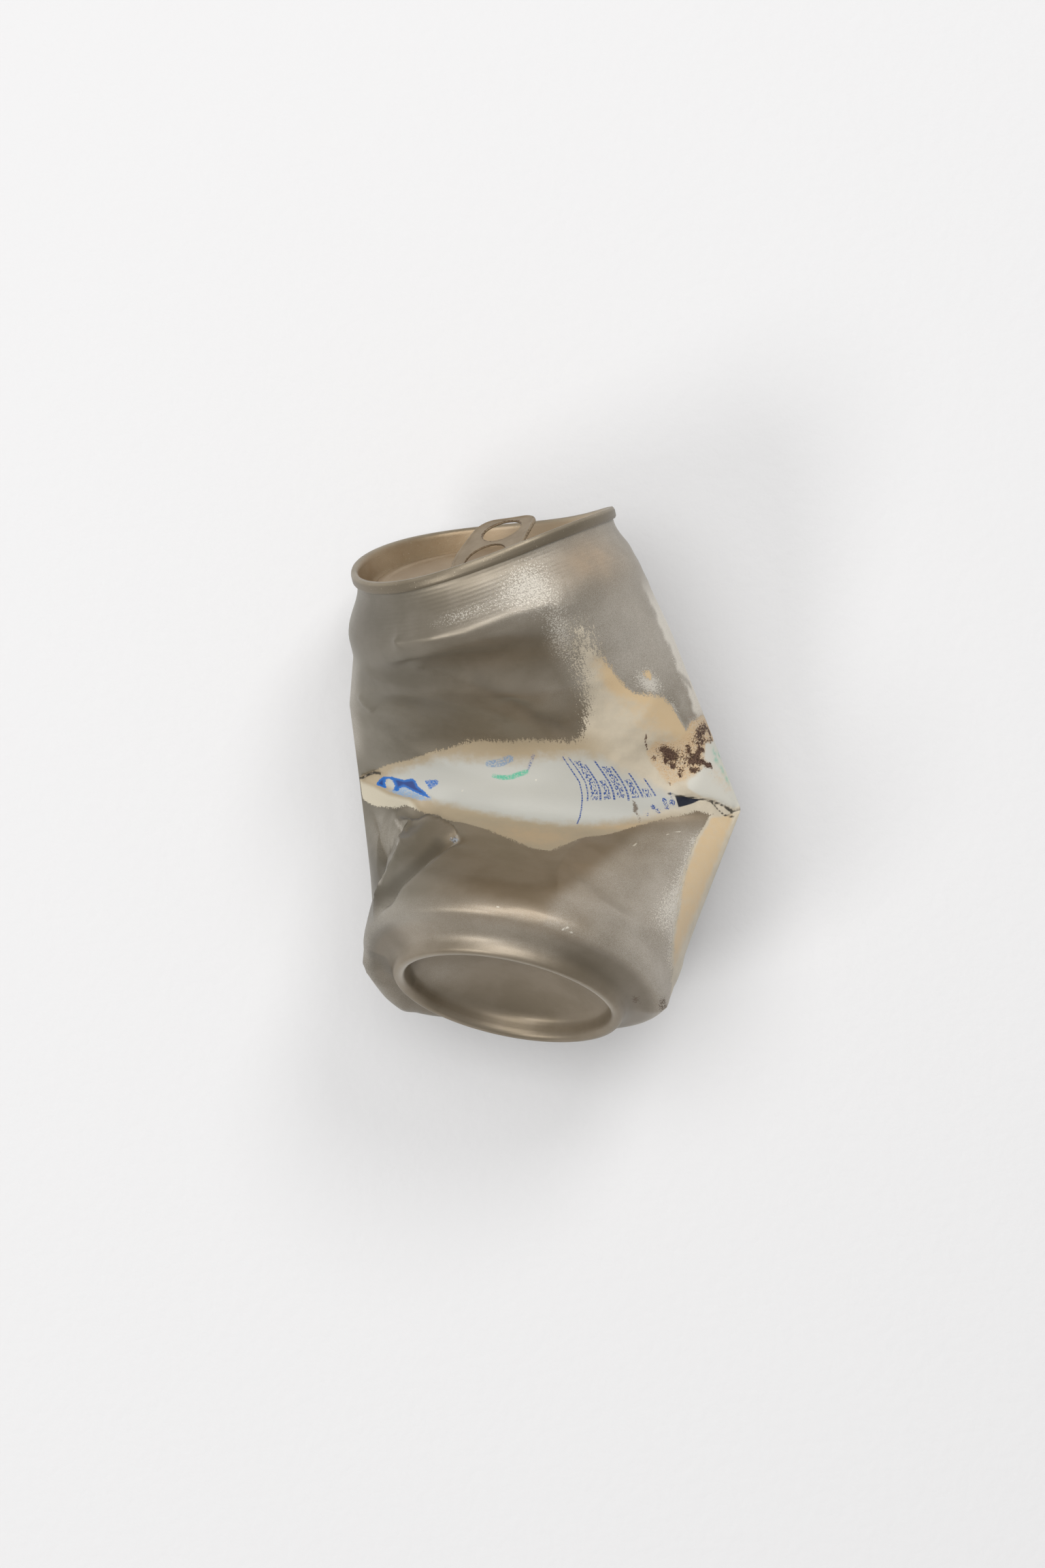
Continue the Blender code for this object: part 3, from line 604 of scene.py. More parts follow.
# Thin things: paths of places, each with its half-width.
STROKES = {
    "teal": ((((106.5, 63.2), (104, 62.9), (101, 63.2), (98.5, 63.9), (96, 64.5)), 0.55),),
    "faint": ((((95.6, 65), (94.2, 66.6), (92.8, 68.4)), 0.4),),
    "smudge": ((((107.5, 65.7), (104, 66), (100.5, 67.2)), 0.95),),
    "dirt": ((((64, 59), (63.4, 57.5), (64.2, 56.6), (63.2, 55.4), (62.6, 53.8)), 0.28),),
    "hair": ((((24, 64), (20.5, 61), (17, 59), (14, 58), (8, 57)), 0.3),),
    "scratch": (
        (((52, 49), (49.5, 50.1), (46, 50.4)), 0), (((62, 44), (61.3, 45.6)), 0),
        (((75.5, 6.6), (74, 7.3), (71.5, 6.5)), 0), (((117.6, 58.6), (117.4, 58.9)), 0),
        (((93.6, 62.6), (93.4, 62.9)), 0), (((101, 8.2), (99.5, 7.6)), 0),
    ),
    # Painted shadow: dark lines in the ears' folds, where one lip overhangs the other.
    "fold_shadow": (
        (((176, 55.1), (170, 55.5), (163, 57), (158, 58.3), (153, 58.8)), 0.1),
        (((50, 60.2), (44, 59.5), (35, 58.5), (30, 57.9), (25, 57)), -0.05),
        (((32, 58.2), (27, 57.4), (20, 56), (15, 55), (0, 55.2)), -0.02),
        (((21, 55.9), (18, 55.3), (15, 54.8)), 0.12),
        (((30, 57.5), (28, 56), (26, 55), (23, 54.3), (12, 53.4)), -0.05),
    ),
}
RUST_STROKES = (
    (((35, 66.6), (32, 66.9), (28.5, 66.6), (25, 65.8), (22.2, 65.4)), 0.34),
    (((32, 67.2), (29.5, 68.2), (26.5, 69.2), (23.8, 69.6)), 0.3),
    (((29, 68.4), (26, 70.4), (21, 71.2)), 0.02),
    (((24, 71.2), (18, 71.3), (12, 71.2), (5, 71.3)), -0.02),
    (((47, 66.6), (44, 65.6), (41, 65), (38.6, 65.2)), 0.1), (((42.4, 63.9), (40.6, 63.4)), 0.02),
    (((36, 64.6), (33, 64.9), (30.5, 65.1)), 0), (((24, 72.2), (21, 73.6)), 0.1),
    (((19, 74.8), (13, 75.2)), -0.02),
)
RUST_STREAK = ((52, 73.6), (53.2, 71.6), (53, 70))
FLANK_DAB = ((23, 87), (17, 86), (10, 84))
# Painted light and shade on the wall: lit edges of the folds at the lower left, and shade along a fold,
# under the heel and in the upper hollow.
FOLD_LIGHT = (
    ((119, 36.5), (122, 33), (129, 26.5), (135, 20), (142, 14.5), (150, 9.5)),
    ((146, 43), (144, 38), (143.5, 32), (145, 27), (149, 20.5), (154, 14.5)),
)
FOLD_SHADE = ((126.5, 34), (129, 30.5), (134, 24.5), (141, 18.5), (150, 13), (163, 9))
HEEL_SHADE = ((184, 4.9), (190, 4.4), (197, 3.6), (204, 2.6))
HOLLOW_SHADE = ((104, 92), (97, 88), (91, 83.5), (87, 79.5), (80, 75.5))
PEACH_EDGE = ((57, 92), (53, 86.5), (49, 83.5), (43, 82.5), (37, 81), (34, 77), (32, 73))

# Soft spots: angle, height, half-length round the can, half-height (mm) and strength of each.
SPOTS = {
    "spread": (
        (71, 90, 6, 14, 3.6), (62, 102, 8, 7, 5.5), (34, 26, 5, 14, 2.6), (18, 14, 8, 3, 1.8),
        (42, 84, 8, 5, 0.8), (100, 40, 20, 5, 0.5), (105, 71.5, 30, 2.5, 0.7), (150, 48, 12, 2, 0.4),
    ),
    "glints": ((78, 113, 5.5, 5, 1), (67, 103, 3.6, 6, 0.9), (68, 92, 3, 10, 0.6), (98, 112, 8, 2, 0.4)),
    # specks: pale specks where the paint is thin; the spots on the neck paint the sparkle of its highlight.
    "specks": (
        (37, 25, 4.5, 9, 0.5), (41, 86.6, 3.6, 3.4, 0.9), (77, 113, 6.5, 5, 0.7), (70, 100, 4, 9, 0.6),
        (33, 80, 2, 3, 0.5), (104, 112, 9, 2, 0.45), (19, 92, 1.6, 14, 0.4),
    ),
    # Painted shade: darker paint on the neck's left, the upper left, the hollow and a band below the cream
    # edge at the lower left.
    "shade": (
        (152, 114, 12, 7, 0.55), (140, 98, 16, 9, 0.45), (88, 102, 11, 4.5, 0.22),
        (131, 46.8, 5.5, 1.1, 0.7),
    ),
    "peach": (
        (39, 77, 9, 6.5, 0.85), (56, 87, 3, 4, 1), (110, 69, 16, 1.8, 0.3), (95, 44, 9, 6, 1),
        (66, 52, 8, 1.5, 1),
    ),
    "tint": (
        (14.5, 66.5, 1.5, 0.7, 1), (12.5, 68.4, 1.5, 0.7, 1), (11, 64.3, 1.5, 0.7, 1),
        (5, 67.5, 1.5, 0.7, 1), (9, 62, 1.5, 0.7, 1),
    ),
    "blush": ((17, 63.6, 4.5, 2, 1), (12, 60.4, 3.5, 1.6, 0.8)),
    "grime": ((7, 6.9, 3.4, 0.6, 1), (14, 4.4, 2.6, 0.5, 0.9)),
    "chip": ((120.4, 36.2, 1.1, 0.55, 1),),
    "haze": ((46, 113, 9, 4.5, 1),),
    "rust": (
        (45.6, 69.3, 1.8, 1.1, 1.1), (43.2, 67.8, 1.4, 1.1, 1), (46.6, 66.8, 0.9, 0.6, 0.8),
        (33, 69.6, 0.8, 0.8, 0.9), (7.5, 73, 1.6, 1.1, 1.1), (12.5, 74.6, 3, 1, 0.62),
        (18, 73.4, 3, 1.1, 0.68), (22.5, 72.8, 1.6, 0.9, 0.72), (38, 67.6, 5, 2.6, 0.42),
        (25.5, 71.2, 3, 1.4, 0.56), (48.5, 62.4, 0.8, 0.4, 0.7), (51.5, 67.4, 0.8, 0.3, 0.7),
        (30.5, 67.4, 2.2, 1.2, 0.62),
    ),
}
# Spots where the paint is drawn paler: wear, and painted highlights on the neck, the lower left facet and
# the upper hollow.
WEAR_AND_LIGHT_SPOTS = (
    (76, 112, 15, 5.5, 0.62), (155, 37, 7, 8, 0.36), (41, 86, 3, 3.2, 0.9), (26, 82, 5, 7, 0.6),
    (79, 85, 5, 5.5, 0.26),
)
# Painted shade on the wall at the heel's left and the lower left side.
WALL_SHADE = ((186, 6, 7, 2.6, 0.5), (167, 20, 7, 17, 0.75))
PRINT_MARKS = (  # angle, height and size
    (60, 55.8, 0.5), (57.4, 57.6, 0.6), (55.8, 56.6, 0.65), (52.6, 58.9, 0.65), (52.2, 57.4, 0.65),
    (49.6, 58.4, 0.7), (49.2, 60, 0.5),
)

# The printed table's rules, left to right: angles at the heights below, the span each is drawn
# over, and its half-width. No lettering: the columns between them hold only small dashes.
RULE_HEIGHTS = (50, 53, 57, 60, 61.5, 63, 64.5, 66, 68.5)
RULES = (
    ((83, 82.3, 81, 80, 79.9, 80, 81, 82, 83.4), 52.4, 68.4, 0.14),
    ((81, 80.6, 79.6, 78.6, 78.2, 78.5, 79.3, 80.3, 82.2), 59, 68.2, 0.14),
    ((77, 76.6, 75.6, 74.4, 74.1, 74.6, 75.6, 76.5, 78.2), 59.2, 66.6, 0.12),
    ((72, 71.6, 70.8, 70, 70, 70.6, 71.6, 72.6, 74.3), 59.4, 67.5, 0.12),
    ((67, 66.8, 66, 65.2, 65.3, 66.1, 67.1, 68.2, 70), 59.2, 66.2, 0.11),
    ((62, 61.6, 61, 60.1, 60.7, 61.6, 62.8, 63.8, 65.6), 59.8, 64.5, 0.11),
    ((57, 56.6, 56, 55.2, 56.2, 57.4, 58.4, 59.4, 61), 60, 63.2, 0.12),
)
DASHES = (  # a column of dashes: where it lies between two rules, its half-width, and its span
    (1.55, 0.32, 59.3, 67.4), (2.5, 0.3, 59.4, 63.2), (3.5, 0.34, 59.8, 66.2), (4.5, 0.3, 59.8, 63.2),
    (5.45, 0.3, 59.8, 61.3),
)
RULE_PITCH, DOT_STEP = 2.5, 0.55  # millimetres between two rules, about, and between a rule's dots
SPAN_FADE = 0.2
BEYOND_TABLE = 4.0  # degrees to a column beyond the first and the last rule
OFF_BASE = 9.0  # millimetres that keep bare metal and scratches off the base


def table_columns(sheet, angle):
    """A count of the printed table's rules: whole on each rule, running evenly between them."""
    at = [np.interp(sheet[..., 1], RULE_HEIGHTS, rule[0]) for rule in RULES]
    column = (at[0] - angle) / BEYOND_TABLE
    for k, (left, right) in enumerate(zip(at, at[1:])):
        column = np.where(angle < left, k + (left - angle) / (left - right), column)
    return np.where(angle < at[-1], len(at) - 1 + (at[-1] - angle) / BEYOND_TABLE, column)


def paint_wear_and_light(sheet, angle, height, bare, wall, chime):
    """How pale the brown paint is drawn: thin with wear, and paled as painted highlights where lamps would
    light the neck, the facets, the left edge and the fold edges.
    """
    facet = 84.0 - 0.52 * (height - 13.0)
    lower = (0.48 + 0.14 * ramp(angle, 54, 46)) * ramp(angle - facet, 1.5, -7.0)
    lower *= ramp(height, 56, 47) * ramp(height, 5.4, 6.6) * (1.0 - 0.4 * clump(sheet, 68, 10, 3.0, 3.0))
    upper = (0.46 + 0.3 * clump(sheet, 42, 94, 14, 12)) * ramp(angle, 80, 66) * ramp(height, 76, 86)
    edge = np.exp(-np.clip(-bare, 0.0, 9.0) / 1.1) * ramp(angle, 62, 56) * (height > 60.0)
    left = ramp(angle, 158, 172) * ramp(height, 60, 70) * ramp(height, 108, 100)
    worn_and_lit = [lower, upper, 0.85 * edge, 0.5 * left, 0.3 * ramp(height, 12, 7) * wall]
    worn_and_lit += [strength * clump(sheet, *place) for *place, strength in WEAR_AND_LIGHT_SPOTS]
    worn_and_lit += [0.75 * stroke(sheet, path, 0.12, -0.6, 0.1) for path in FOLD_LIGHT]
    rubbed = 0.3 * chime * (1.0 - ramp(angle, 84, 60)) * (1.0 - 0.8 * ramp(angle, 142, 160))
    worn_and_lit = np.maximum(np.maximum.reduce(worn_and_lit) * wall, rubbed)
    return worn_and_lit + 0.3 * clump(sheet, 212, 6, 12.0, 2.5)


def shell_fields(sheet, radius):
    """The fields that the shell's material reads, each with one number for each vertex."""
    height = sheet[..., 1]
    angle = 90.0 - np.degrees(sheet[..., 0] / WALL_RADIUS)
    wall = np.where(height < 60.0, smoothstep(29.0, 32.0, radius), 1.0)
    base = 1.0 - wall
    chime = smoothstep(24.6, 26.4, radius) * (1.0 - smoothstep(31.0, 32.6, radius)) * (height < 12.0)
    fields = {name: depth_in(sheet, outline) for name, outline in OUTLINES.items()}
    for name, strokes in STROKES.items():
        fields[name] = np.maximum.reduce([within(sheet, path, half) for path, half in strokes])
    for name, spots in SPOTS.items():
        fields[name] = sum(strength * clump(sheet, *place) for *place, strength in spots)

    strip = fields.pop("strip")
    spot = SPOT[2] - np.linalg.norm(sheet - to_sheet([SPOT[:2]])[0], axis=-1)
    bare = np.maximum.reduce([fields.pop("label"), strip, spot]) * wall - OFF_BASE * base
    fields["bare"] = bare
    fields["spread"] += 0.55
    # The pale paint's field: wear, and painted highlights on lit facets and edges.
    fields["worn_and_lit"] = paint_wear_and_light(sheet, angle, height, bare, wall, chime)
    fields["scratch"] -= OFF_BASE * base
    fields["column"] = table_columns(sheet, angle)
    fields["dirt"] += 0.3 * clump(sheet, 63.6, 57.4, 0.9, 1.2)

    notch = 1.15 * (1.0 - np.linalg.norm((sheet - to_sheet([NOTCH])[0]) / NOTCH_HALVES, axis=-1))
    fields["wave"] = np.minimum(fields["wave"], -notch)
    fields["marks"] = np.maximum.reduce([
        size * np.clip(1.2 * clump(sheet, a, h, size, size), 0.0, 1.0) for a, h, size in PRINT_MARKS
    ])
    rust = [1.25 * stroke(sheet, path, half, -0.55, 0.15) for path, half in RUST_STROKES]
    rust += [0.95 * fields["rust"], 0.8 * stroke(sheet, RUST_STREAK, 0.12, -0.4, 0.2)]
    fields["rust"] = np.maximum.reduce(rust)

    # A pale band down the right flank: pale paint there, and painted light on the side that faces away from
    # the lamps.
    flank = ramp(angle + 1.2 * np.sin(height * 0.7) + np.sin(height * 1.9), 20, 16) * ramp(height, 74, 79)
    flank *= (1.0 - ramp(height, 100, 108)) * ramp(angle + 3.0 * np.sin(0.4 * height), -22, -2)
    fields["flank"] = flank * (1.0 - 0.8 * stroke(sheet, FLANK_DAB, 1.3, -0.4, 0.9)) * wall
    # A painted highlight: a thin bright line along the stand ring's inner edge.
    ring_highlight_band = np.exp(-((radius - STAND_RADIUS + 0.4 * NOSE_RADIUS) / 0.45) ** 2) * (height < 12.0)
    fields["ring_highlight"] = ring_highlight_band * ramp(angle, 5, 35) * ramp(angle, 205, 175)
    beside = np.exp(-np.clip(-strip, 0.0, 40.0) / 2.4) * ramp(angle, 8, 16) * ramp(height, 54, 48)
    fields["specks"] += 0.7 * beside * ramp(height, 10, 14)

    # Painted shade: darker paint along a fold at the lower left, on the chamfer, under the heel and in the
    # upper hollow.
    on_wall = sum(strength * clump(sheet, *place) for *place, strength in WALL_SHADE)
    on_wall += 0.5 * stroke(sheet, FOLD_SHADE, 0.9, -1.6, 0.4)
    near = ramp(angle, 88, 62) * ramp(height, 6.6, 5.4)
    fields["shade"] += on_wall * wall + chime * (0.4 * ramp(angle, 142, 160) + 0.42 * near)
    fields["shade"] += 0.35 * stroke(sheet, HEEL_SHADE, 0.4, -1.2, 0.2)
    fields["shade"] += 0.3 * stroke(sheet, HOLLOW_SHADE, 0.3, -2.4, 0.4)

    warm = ramp(angle, 150, 100) * (0.35 + 0.65 * ramp(height, 75, 45))
    warm *= wall * (1.0 - 0.35 * ramp(angle, 76, 56) * ramp(height, 56, 48))
    fields["warm"] = warm + 0.6 * base
    # Painted shade: the cream drawn tan along the label's top and below its lower edge.
    fields["tan_shade"] = ramp(height, 77, 71) * ramp(angle, 62, 78) + ramp(height, 57, 54) * ramp(angle, 40, 50)
    fields["peach"] += 0.8 * np.exp(-to_path(sheet, PEACH_EDGE)[0] / 3.0) + 1.3 * (spot > -0.3)
    fields["peach"] += ramp(strip, 0.3, 1.6) * ramp(angle, 8, 19)
    fields["peach"] = np.clip(fields["peach"], 0.0, 1.4)
    return fields


class Look:
    """A material under construction, with short calls for the nodes it needs."""

    def __init__(self, name):
        self.material = bpy.data.materials.new(name)
        self.material.use_nodes = True
        self.tree = self.material.node_tree
        self.shader = self.tree.nodes["Principled BSDF"]
        self.place = self.node("ShaderNodeTexCoord").outputs["Object"]
        self.place = self.vector("SCALE", self.place, scale=1.0 / MM)

    def node(self, kind, **settings):
        made = self.tree.nodes.new(kind)
        for key, value in settings.items():
            setattr(made, key, value)
        return made

    def plug(self, socket, value):
        if isinstance(value, bpy.types.NodeSocket):
            self.tree.links.new(value, socket)
        elif isinstance(value, tuple) and len(value) == 3 and socket.type == "RGBA":
            socket.default_value = (*value, 1.0)
        else:
            socket.default_value = value

    def math(self, operation, *values):
        made = self.node("ShaderNodeMath", operation=operation)
        for socket, value in zip(made.inputs, values):
            self.plug(socket, value)
        return made.outputs[0]

    def vector(self, operation, a, b=None, scale=None):
        made = self.node("ShaderNodeVectorMath", operation=operation)
        self.plug(made.inputs[0], a)
        if b is not None:
            self.plug(made.inputs[1], b)
        if scale is not None:
            self.plug(made.inputs["Scale"], scale)
        return made.outputs[0]

    def noise(self, scale, detail=2.0, roughness=0.5, place=None):
        made = self.node("ShaderNodeTexNoise")
        self.plug(made.inputs["Vector"], self.place if place is None else place)
        self.plug(made.inputs["Scale"], scale)
        self.plug(made.inputs["Detail"], detail)
        self.plug(made.inputs["Roughness"], roughness)
        return made.outputs[0]

    def field(self, name, output="Fac"):
        return self.node("ShaderNodeAttribute", attribute_name=name).outputs[output]

    def sheet_place(self):
        """The place on the flat sheet, and its height alone."""
        sheet = self.field("sheet", "Vector")
        parts = self.node("ShaderNodeSeparateXYZ")
        self.plug(parts.inputs[0], sheet)
        return sheet, parts.outputs[1]

    def band(self, value, middle, half, soft):
        """1 within half of the middle, fading to 0 over soft."""
        off = self.math("ABSOLUTE", self.math("SUBTRACT", value, middle))
        return self.between(off, half, half + soft, 1.0, 0.0)

    def span(self, height, low, high):
        """1 from one height to another, fading to 0 over SPAN_FADE."""
        start = self.between(height, low - SPAN_FADE, low)
        return self.product(start, self.between(height, high, high + SPAN_FADE, 1.0, 0.0))

    def product(self, first, *others):
        for other in others:
            first = self.math("MULTIPLY", first, other)
        return first

    def line(self, value, slope, start):
        return self.math("MULTIPLY_ADD", value, slope, start)

    def moved(self, value, noise, by):
        """A value moved up and down by a noise about its middle."""
        return self.line(self.math("SUBTRACT", noise, 0.5), by, value)

    def layers(self, colour, rows):
        """The colour with others laid over it: field, colour, edge, ragged and broken for each row.

        The field says where a layer lies. Its edge is the step that the field is put through, ragged a
        noise and how far that moves the edge, broken a noise and the step that breaks the layer up.
        The last of these can be left out, and None stands for one left out before another.
        """
        for name, top, *steps in rows:
            edge, ragged, broken = (*steps, None, None, None)[:3]
            share = self.field(name)
            if ragged:
                share = self.moved(share, *ragged)
            if edge:
                share = self.between(share, *edge)
            if broken:
                share = self.product(share, self.between(*broken))
            colour = self.mix(share, colour, top)
        return colour

    def table_print(self):
        """The dotted rules of the printed table and the small dashes between them."""
        (sheet, height), column = self.sheet_place(), self.field("column")
        dots = self.math("SINE", self.product(height, 2.0 * math.pi / DOT_STEP))
        total = None
        for k, (_, low, high, half) in enumerate(RULES):
            rule = self.band(column, float(k), 1.25 * half / RULE_PITCH, 0.1 / RULE_PITCH)
            rule = self.product(rule, self.span(height, low, high))
            total = rule if total is None else self.math("MAXIMUM", total, rule)
        total = self.product(total, self.between(dots, -0.9, -0.2, 0.45, 1.0))
        bits = self.noise(1.0, 2.0, 0.5, place=self.vector("MULTIPLY", sheet, (3.2, 2.2, 1.0)))
        bits = self.between(bits, 0.48, 0.54)
        for middle, half, low, high in DASHES:
            dash = self.band(column, middle, half * 0.7, half * 0.3)
            dash = self.product(dash, self.span(height, low, high), bits)
            total = self.math("MAXIMUM", total, dash)
        return self.product(total, self.between(self.noise(2.6, 3.0, 0.7), 0.36, 0.5, 0.45, 1.0))

    def between(self, value, low, high, start=0.0, end=1.0):
        """A smooth step of value from low to high, as a share from start to end."""
        made = self.node("ShaderNodeMapRange", interpolation_type="SMOOTHSTEP")
        for socket, number in zip(made.inputs[:5], (value, low, high, start, end)):
            self.plug(socket, number)
        return made.outputs[0]

    def mix(self, share, a, b):
        made = self.node("ShaderNodeMix", data_type="RGBA")
        for index, value in ((0, share), (6, a), (7, b)):
            self.plug(made.inputs[index], value)
        return made.outputs[2]

    def finish(self, colour, roughness, metallic, relief, depth):
        """The material with these looks, and its relief as a bump of that depth in millimetres."""
        bump = self.node("ShaderNodeBump")
        self.plug(bump.inputs["Distance"], depth * MM)
        self.plug(bump.inputs["Height"], relief)
        names = ("Base Color", "Roughness", "Metallic", "Normal")
        for name, value in zip(names, (colour, roughness, metallic, bump.outputs[0])):
            self.plug(self.shader.inputs[name], value)
        return self.material


def srgb(red, green, blue):
    """A colour given as screen values from 0 to 255, as the linear values that shaders take."""
    return tuple(((v / 255.0 + 0.055) / 1.055) ** 2.4 for v in (red, green, blue))

GREY_PAINT, GREY_PAINT_DEEP = srgb(144, 138, 126), srgb(132, 126, 113)
BROWN_PAINT, BROWN_PAINT_DEEP = srgb(148, 132, 110), srgb(138, 122, 99)
# Painted light and shade: the pale paint is drawn for wear and for painted highlights, the dark one for
# painted shade.
WORN_AND_LIT_PAINT, PAINTED_SHADE = srgb(196, 189, 178), srgb(92, 86, 74)
PALE_SPECK_AND_HIGHLIGHT, HAZE, SCRATCH_PALE = srgb(226, 220, 208), srgb(192, 166, 136), srgb(226, 220, 206)
CREAM, PEACH = srgb(206, 195, 174), srgb(210, 184, 144)
CREAM_DEEP = tuple(0.9 * v for v in CREAM)
TAN, TAN_DEEP, TAN_PEACH = srgb(177, 162, 137), srgb(162, 147, 121), srgb(184, 161, 128)
WHITE, TORN_PALE, PALE_LIP = srgb(184, 184, 177), srgb(208, 206, 196), srgb(200, 192, 172)
BLUE, BLUE_DEEP, BLUE_PALE = srgb(20, 100, 180), srgb(5, 52, 122), srgb(132, 160, 190)
TEAL_INK, SMUDGE_INK = srgb(70, 176, 142), srgb(110, 140, 172)
INK, RULE_INK = srgb(14, 20, 38), srgb(36, 72, 140)
RUST_DARK, RUST_GREY, RUST_MID = srgb(62, 40, 28), srgb(108, 84, 68), srgb(138, 92, 60)
RUST_STAIN, BLUSH, GREEN_TINT = srgb(204, 176, 138), srgb(208, 190, 164), srgb(146, 192, 172)
OLD_DIRT, CREASE_SHADOW, HAIR = srgb(96, 80, 62), srgb(40, 36, 30), srgb(110, 120, 110)
CHIP_DARK, CHIP_PALE, LINING = srgb(104, 106, 112), srgb(178, 182, 186), srgb(120, 110, 96)
LID_INSIDE_DEEP, LID_INSIDE, LID_LIT = srgb(150, 128, 99), srgb(158, 138, 110), srgb(204, 186, 160)
LID_OUTSIDE_DEEP, LID_OUTSIDE, LID_SEAM_SHADE = srgb(140, 129, 110), srgb(152, 141, 122), srgb(122, 112, 95)
LID_CHIPS, TAB_EDGE, FLOOR = srgb(186, 176, 158), srgb(108, 88, 64), srgb(216, 216, 217)
TAB_PAINT_DEEP, TAB_PAINT = srgb(138, 122, 99), srgb(150, 134, 111)
GRAIN_DEPTH, RIB_STEP, RIBS_FROM = 0.03, 0.9, 108.0


def body_look():
    look = Look("can_paint_wear_and_light")
    sheet, height = look.sheet_place()
    mottle, fine, speck = look.noise(0.09, 4.0, 0.6), look.noise(2.2, 4.0, 0.65), look.noise(3.0, 3.0, 0.75)
    brush = look.noise(1.0, 4.0, 0.7, place=look.vector("MULTIPLY", sheet, (2.6, 0.5, 1.0)))

    # The paint, from whole to thin with wear, darkened as painted shade and paled as painted highlights.
    blotches = look.between(mottle, 0.35, 0.65)
    grey = look.mix(blotches, GREY_PAINT_DEEP, GREY_PAINT)
    paint = look.mix(look.field("warm"), grey, look.mix(blotches, BROWN_PAINT_DEEP, BROWN_PAINT))
    sprayed = look.moved(look.between(look.noise(5.5, 2.0, 0.6), 0.3, 0.7, 0.45, 1.25), mottle, 0.8)
    # thin: the paint drawn paler for wear and as painted highlights.
    thin = look.product(look.field("worn_and_lit"), sprayed)
    specks = look.field("specks")
    specked = look.between(look.moved(specks, speck, 2.8), 0.45, 0.7)
    # Painted shade: the shade field darkens the paint where the lamps would leave it in shade.
    paint = look.mix(look.field("shade"), paint, PAINTED_SHADE)
    paint = look.mix(thin, paint, WORN_AND_LIT_PAINT)
    # The right flank: pale paint, and painted light on a side that faces away from the lamps.
    paint = look.layers(paint, (("flank", PALE_SPECK_AND_HIGHLIGHT, None, None, (sprayed, 0.3, 0.9, 0.55, 0.95)),))
    # Pale specks, and on the neck painted sparkle of its highlight.
    paint = look.mix(look.product(specked, look.between(specks, 0.05, 0.3), 0.8), paint, PALE_SPECK_AND_HIGHLIGHT)
    # Painted highlight along the stand ring's inner edge.
    paint = look.mix(look.product(look.field("ring_highlight"), 0.85), paint, PALE_SPECK_AND_HIGHLIGHT)
    paint = look.layers(paint, (("haze", HAZE, None, None, (mottle, 0.3, 0.6, 0.3, 0.7)),))

    # Under the paint: a cream ground, drawn tan as painted shade by the label's edges, peach where it is
    # stained, white on the label with its print, and the rust's stain.
    cream = look.mix(look.between(look.noise(0.35, 4.0, 0.6), 0.3, 0.7), CREAM_DEEP, CREAM)
    cream = look.mix(look.field("tan_shade"), cream, look.mix(mottle, TAN_DEEP, TAN))
    peach = look.moved(look.field("peach"), look.noise(0.5, 4.0, 0.65), 1.2)
    peachy = look.mix(look.field("tan_shade"), PEACH, TAN_PEACH)
    under = look.mix(look.between(peach, 0.1, 1.2, 0.0, 0.9), cream, peachy)
    ink = look.mix(look.between(look.field("wave"), 0.25, 1.0), BLUE, BLUE_DEEP)
    patches = look.noise(2.8, 3.0, 0.7)
    under = look.layers(under, (
        ("ground", WHITE, (-1.2, 2.6), (look.noise(0.45, 4.0, 0.6), 4.0)),
        ("torn", TORN_PALE, (-0.3, 0.5), (mottle, 2.0)),
        ("lip", PALE_LIP, (-0.6, 1.2)),
        ("stain", RUST_STAIN, (-0.4, 0.6), (look.noise(0.9, 4.0, 0.7), 3.0),
         (look.noise(2.4, 5.0, 0.8), 0.35, 0.62, 0.15, 1.0)),
        ("foot", BLUE_PALE, (-0.2, 0.6), (fine, 1.2), (fine, 0.35, 0.6, 0.3, 0.95)),
        ("wave", ink, (-0.12, 0.12), (fine, 0.9)),
        ("second", BLUE, (-0.1, 0.15), (fine, 0.9), (patches, 0.4, 0.55, 0.5, 0.95)),
        ("teal", TEAL_INK, (-0.1, 0.2), None, (fine, 0.38, 0.55, 0.35, 0.9)),
        ("faint", RULE_INK, (0.0, 0.3), None, (patches, 0.46, 0.58, 0.1, 0.8)),
        ("smudge", SMUDGE_INK, (0.0, 0.4), None, (look.noise(2.4, 3.0, 0.7), 0.42, 0.56, 0.15, 0.85)),
    ))
    under = look.mix(look.table_print(), under, RULE_INK)
    under = look.layers(under, (
        ("marks", RULE_INK, (0.25, 0.4), None, (look.noise(3.0, 2.0, 0.5), 0.47, 0.53)),
        ("block", INK, (-0.1, 0.12)),
        ("blush", BLUSH, None, None, (look.noise(0.8, 4.0, 0.65), 0.4, 0.62, 0.1, 0.7)),
        ("tint", GREEN_TINT, None, None, (look.noise(1.4, 4.0, 0.7), 0.34, 0.52)),
        ("dirt", OLD_DIRT, (0.0, 0.3, 0.0, 0.85), (speck, 1.2)),
        ("hair", HAIR, (0.0, 0.3), None, (speck, 0.48, 0.6, 0.0, 0.6)),
    ))

    # The paint's edge: a clean ragged line, or a broad band of specks.
    flecks = look.moved(0.0, look.line(speck, 0.5, look.product(brush, 0.5)), 7.0)
    bare = look.line(look.field("spread"), flecks, look.field("bare"))
    bare = look.between(bare, -0.08, 0.12)
    colour = look.mix(bare, paint, under)

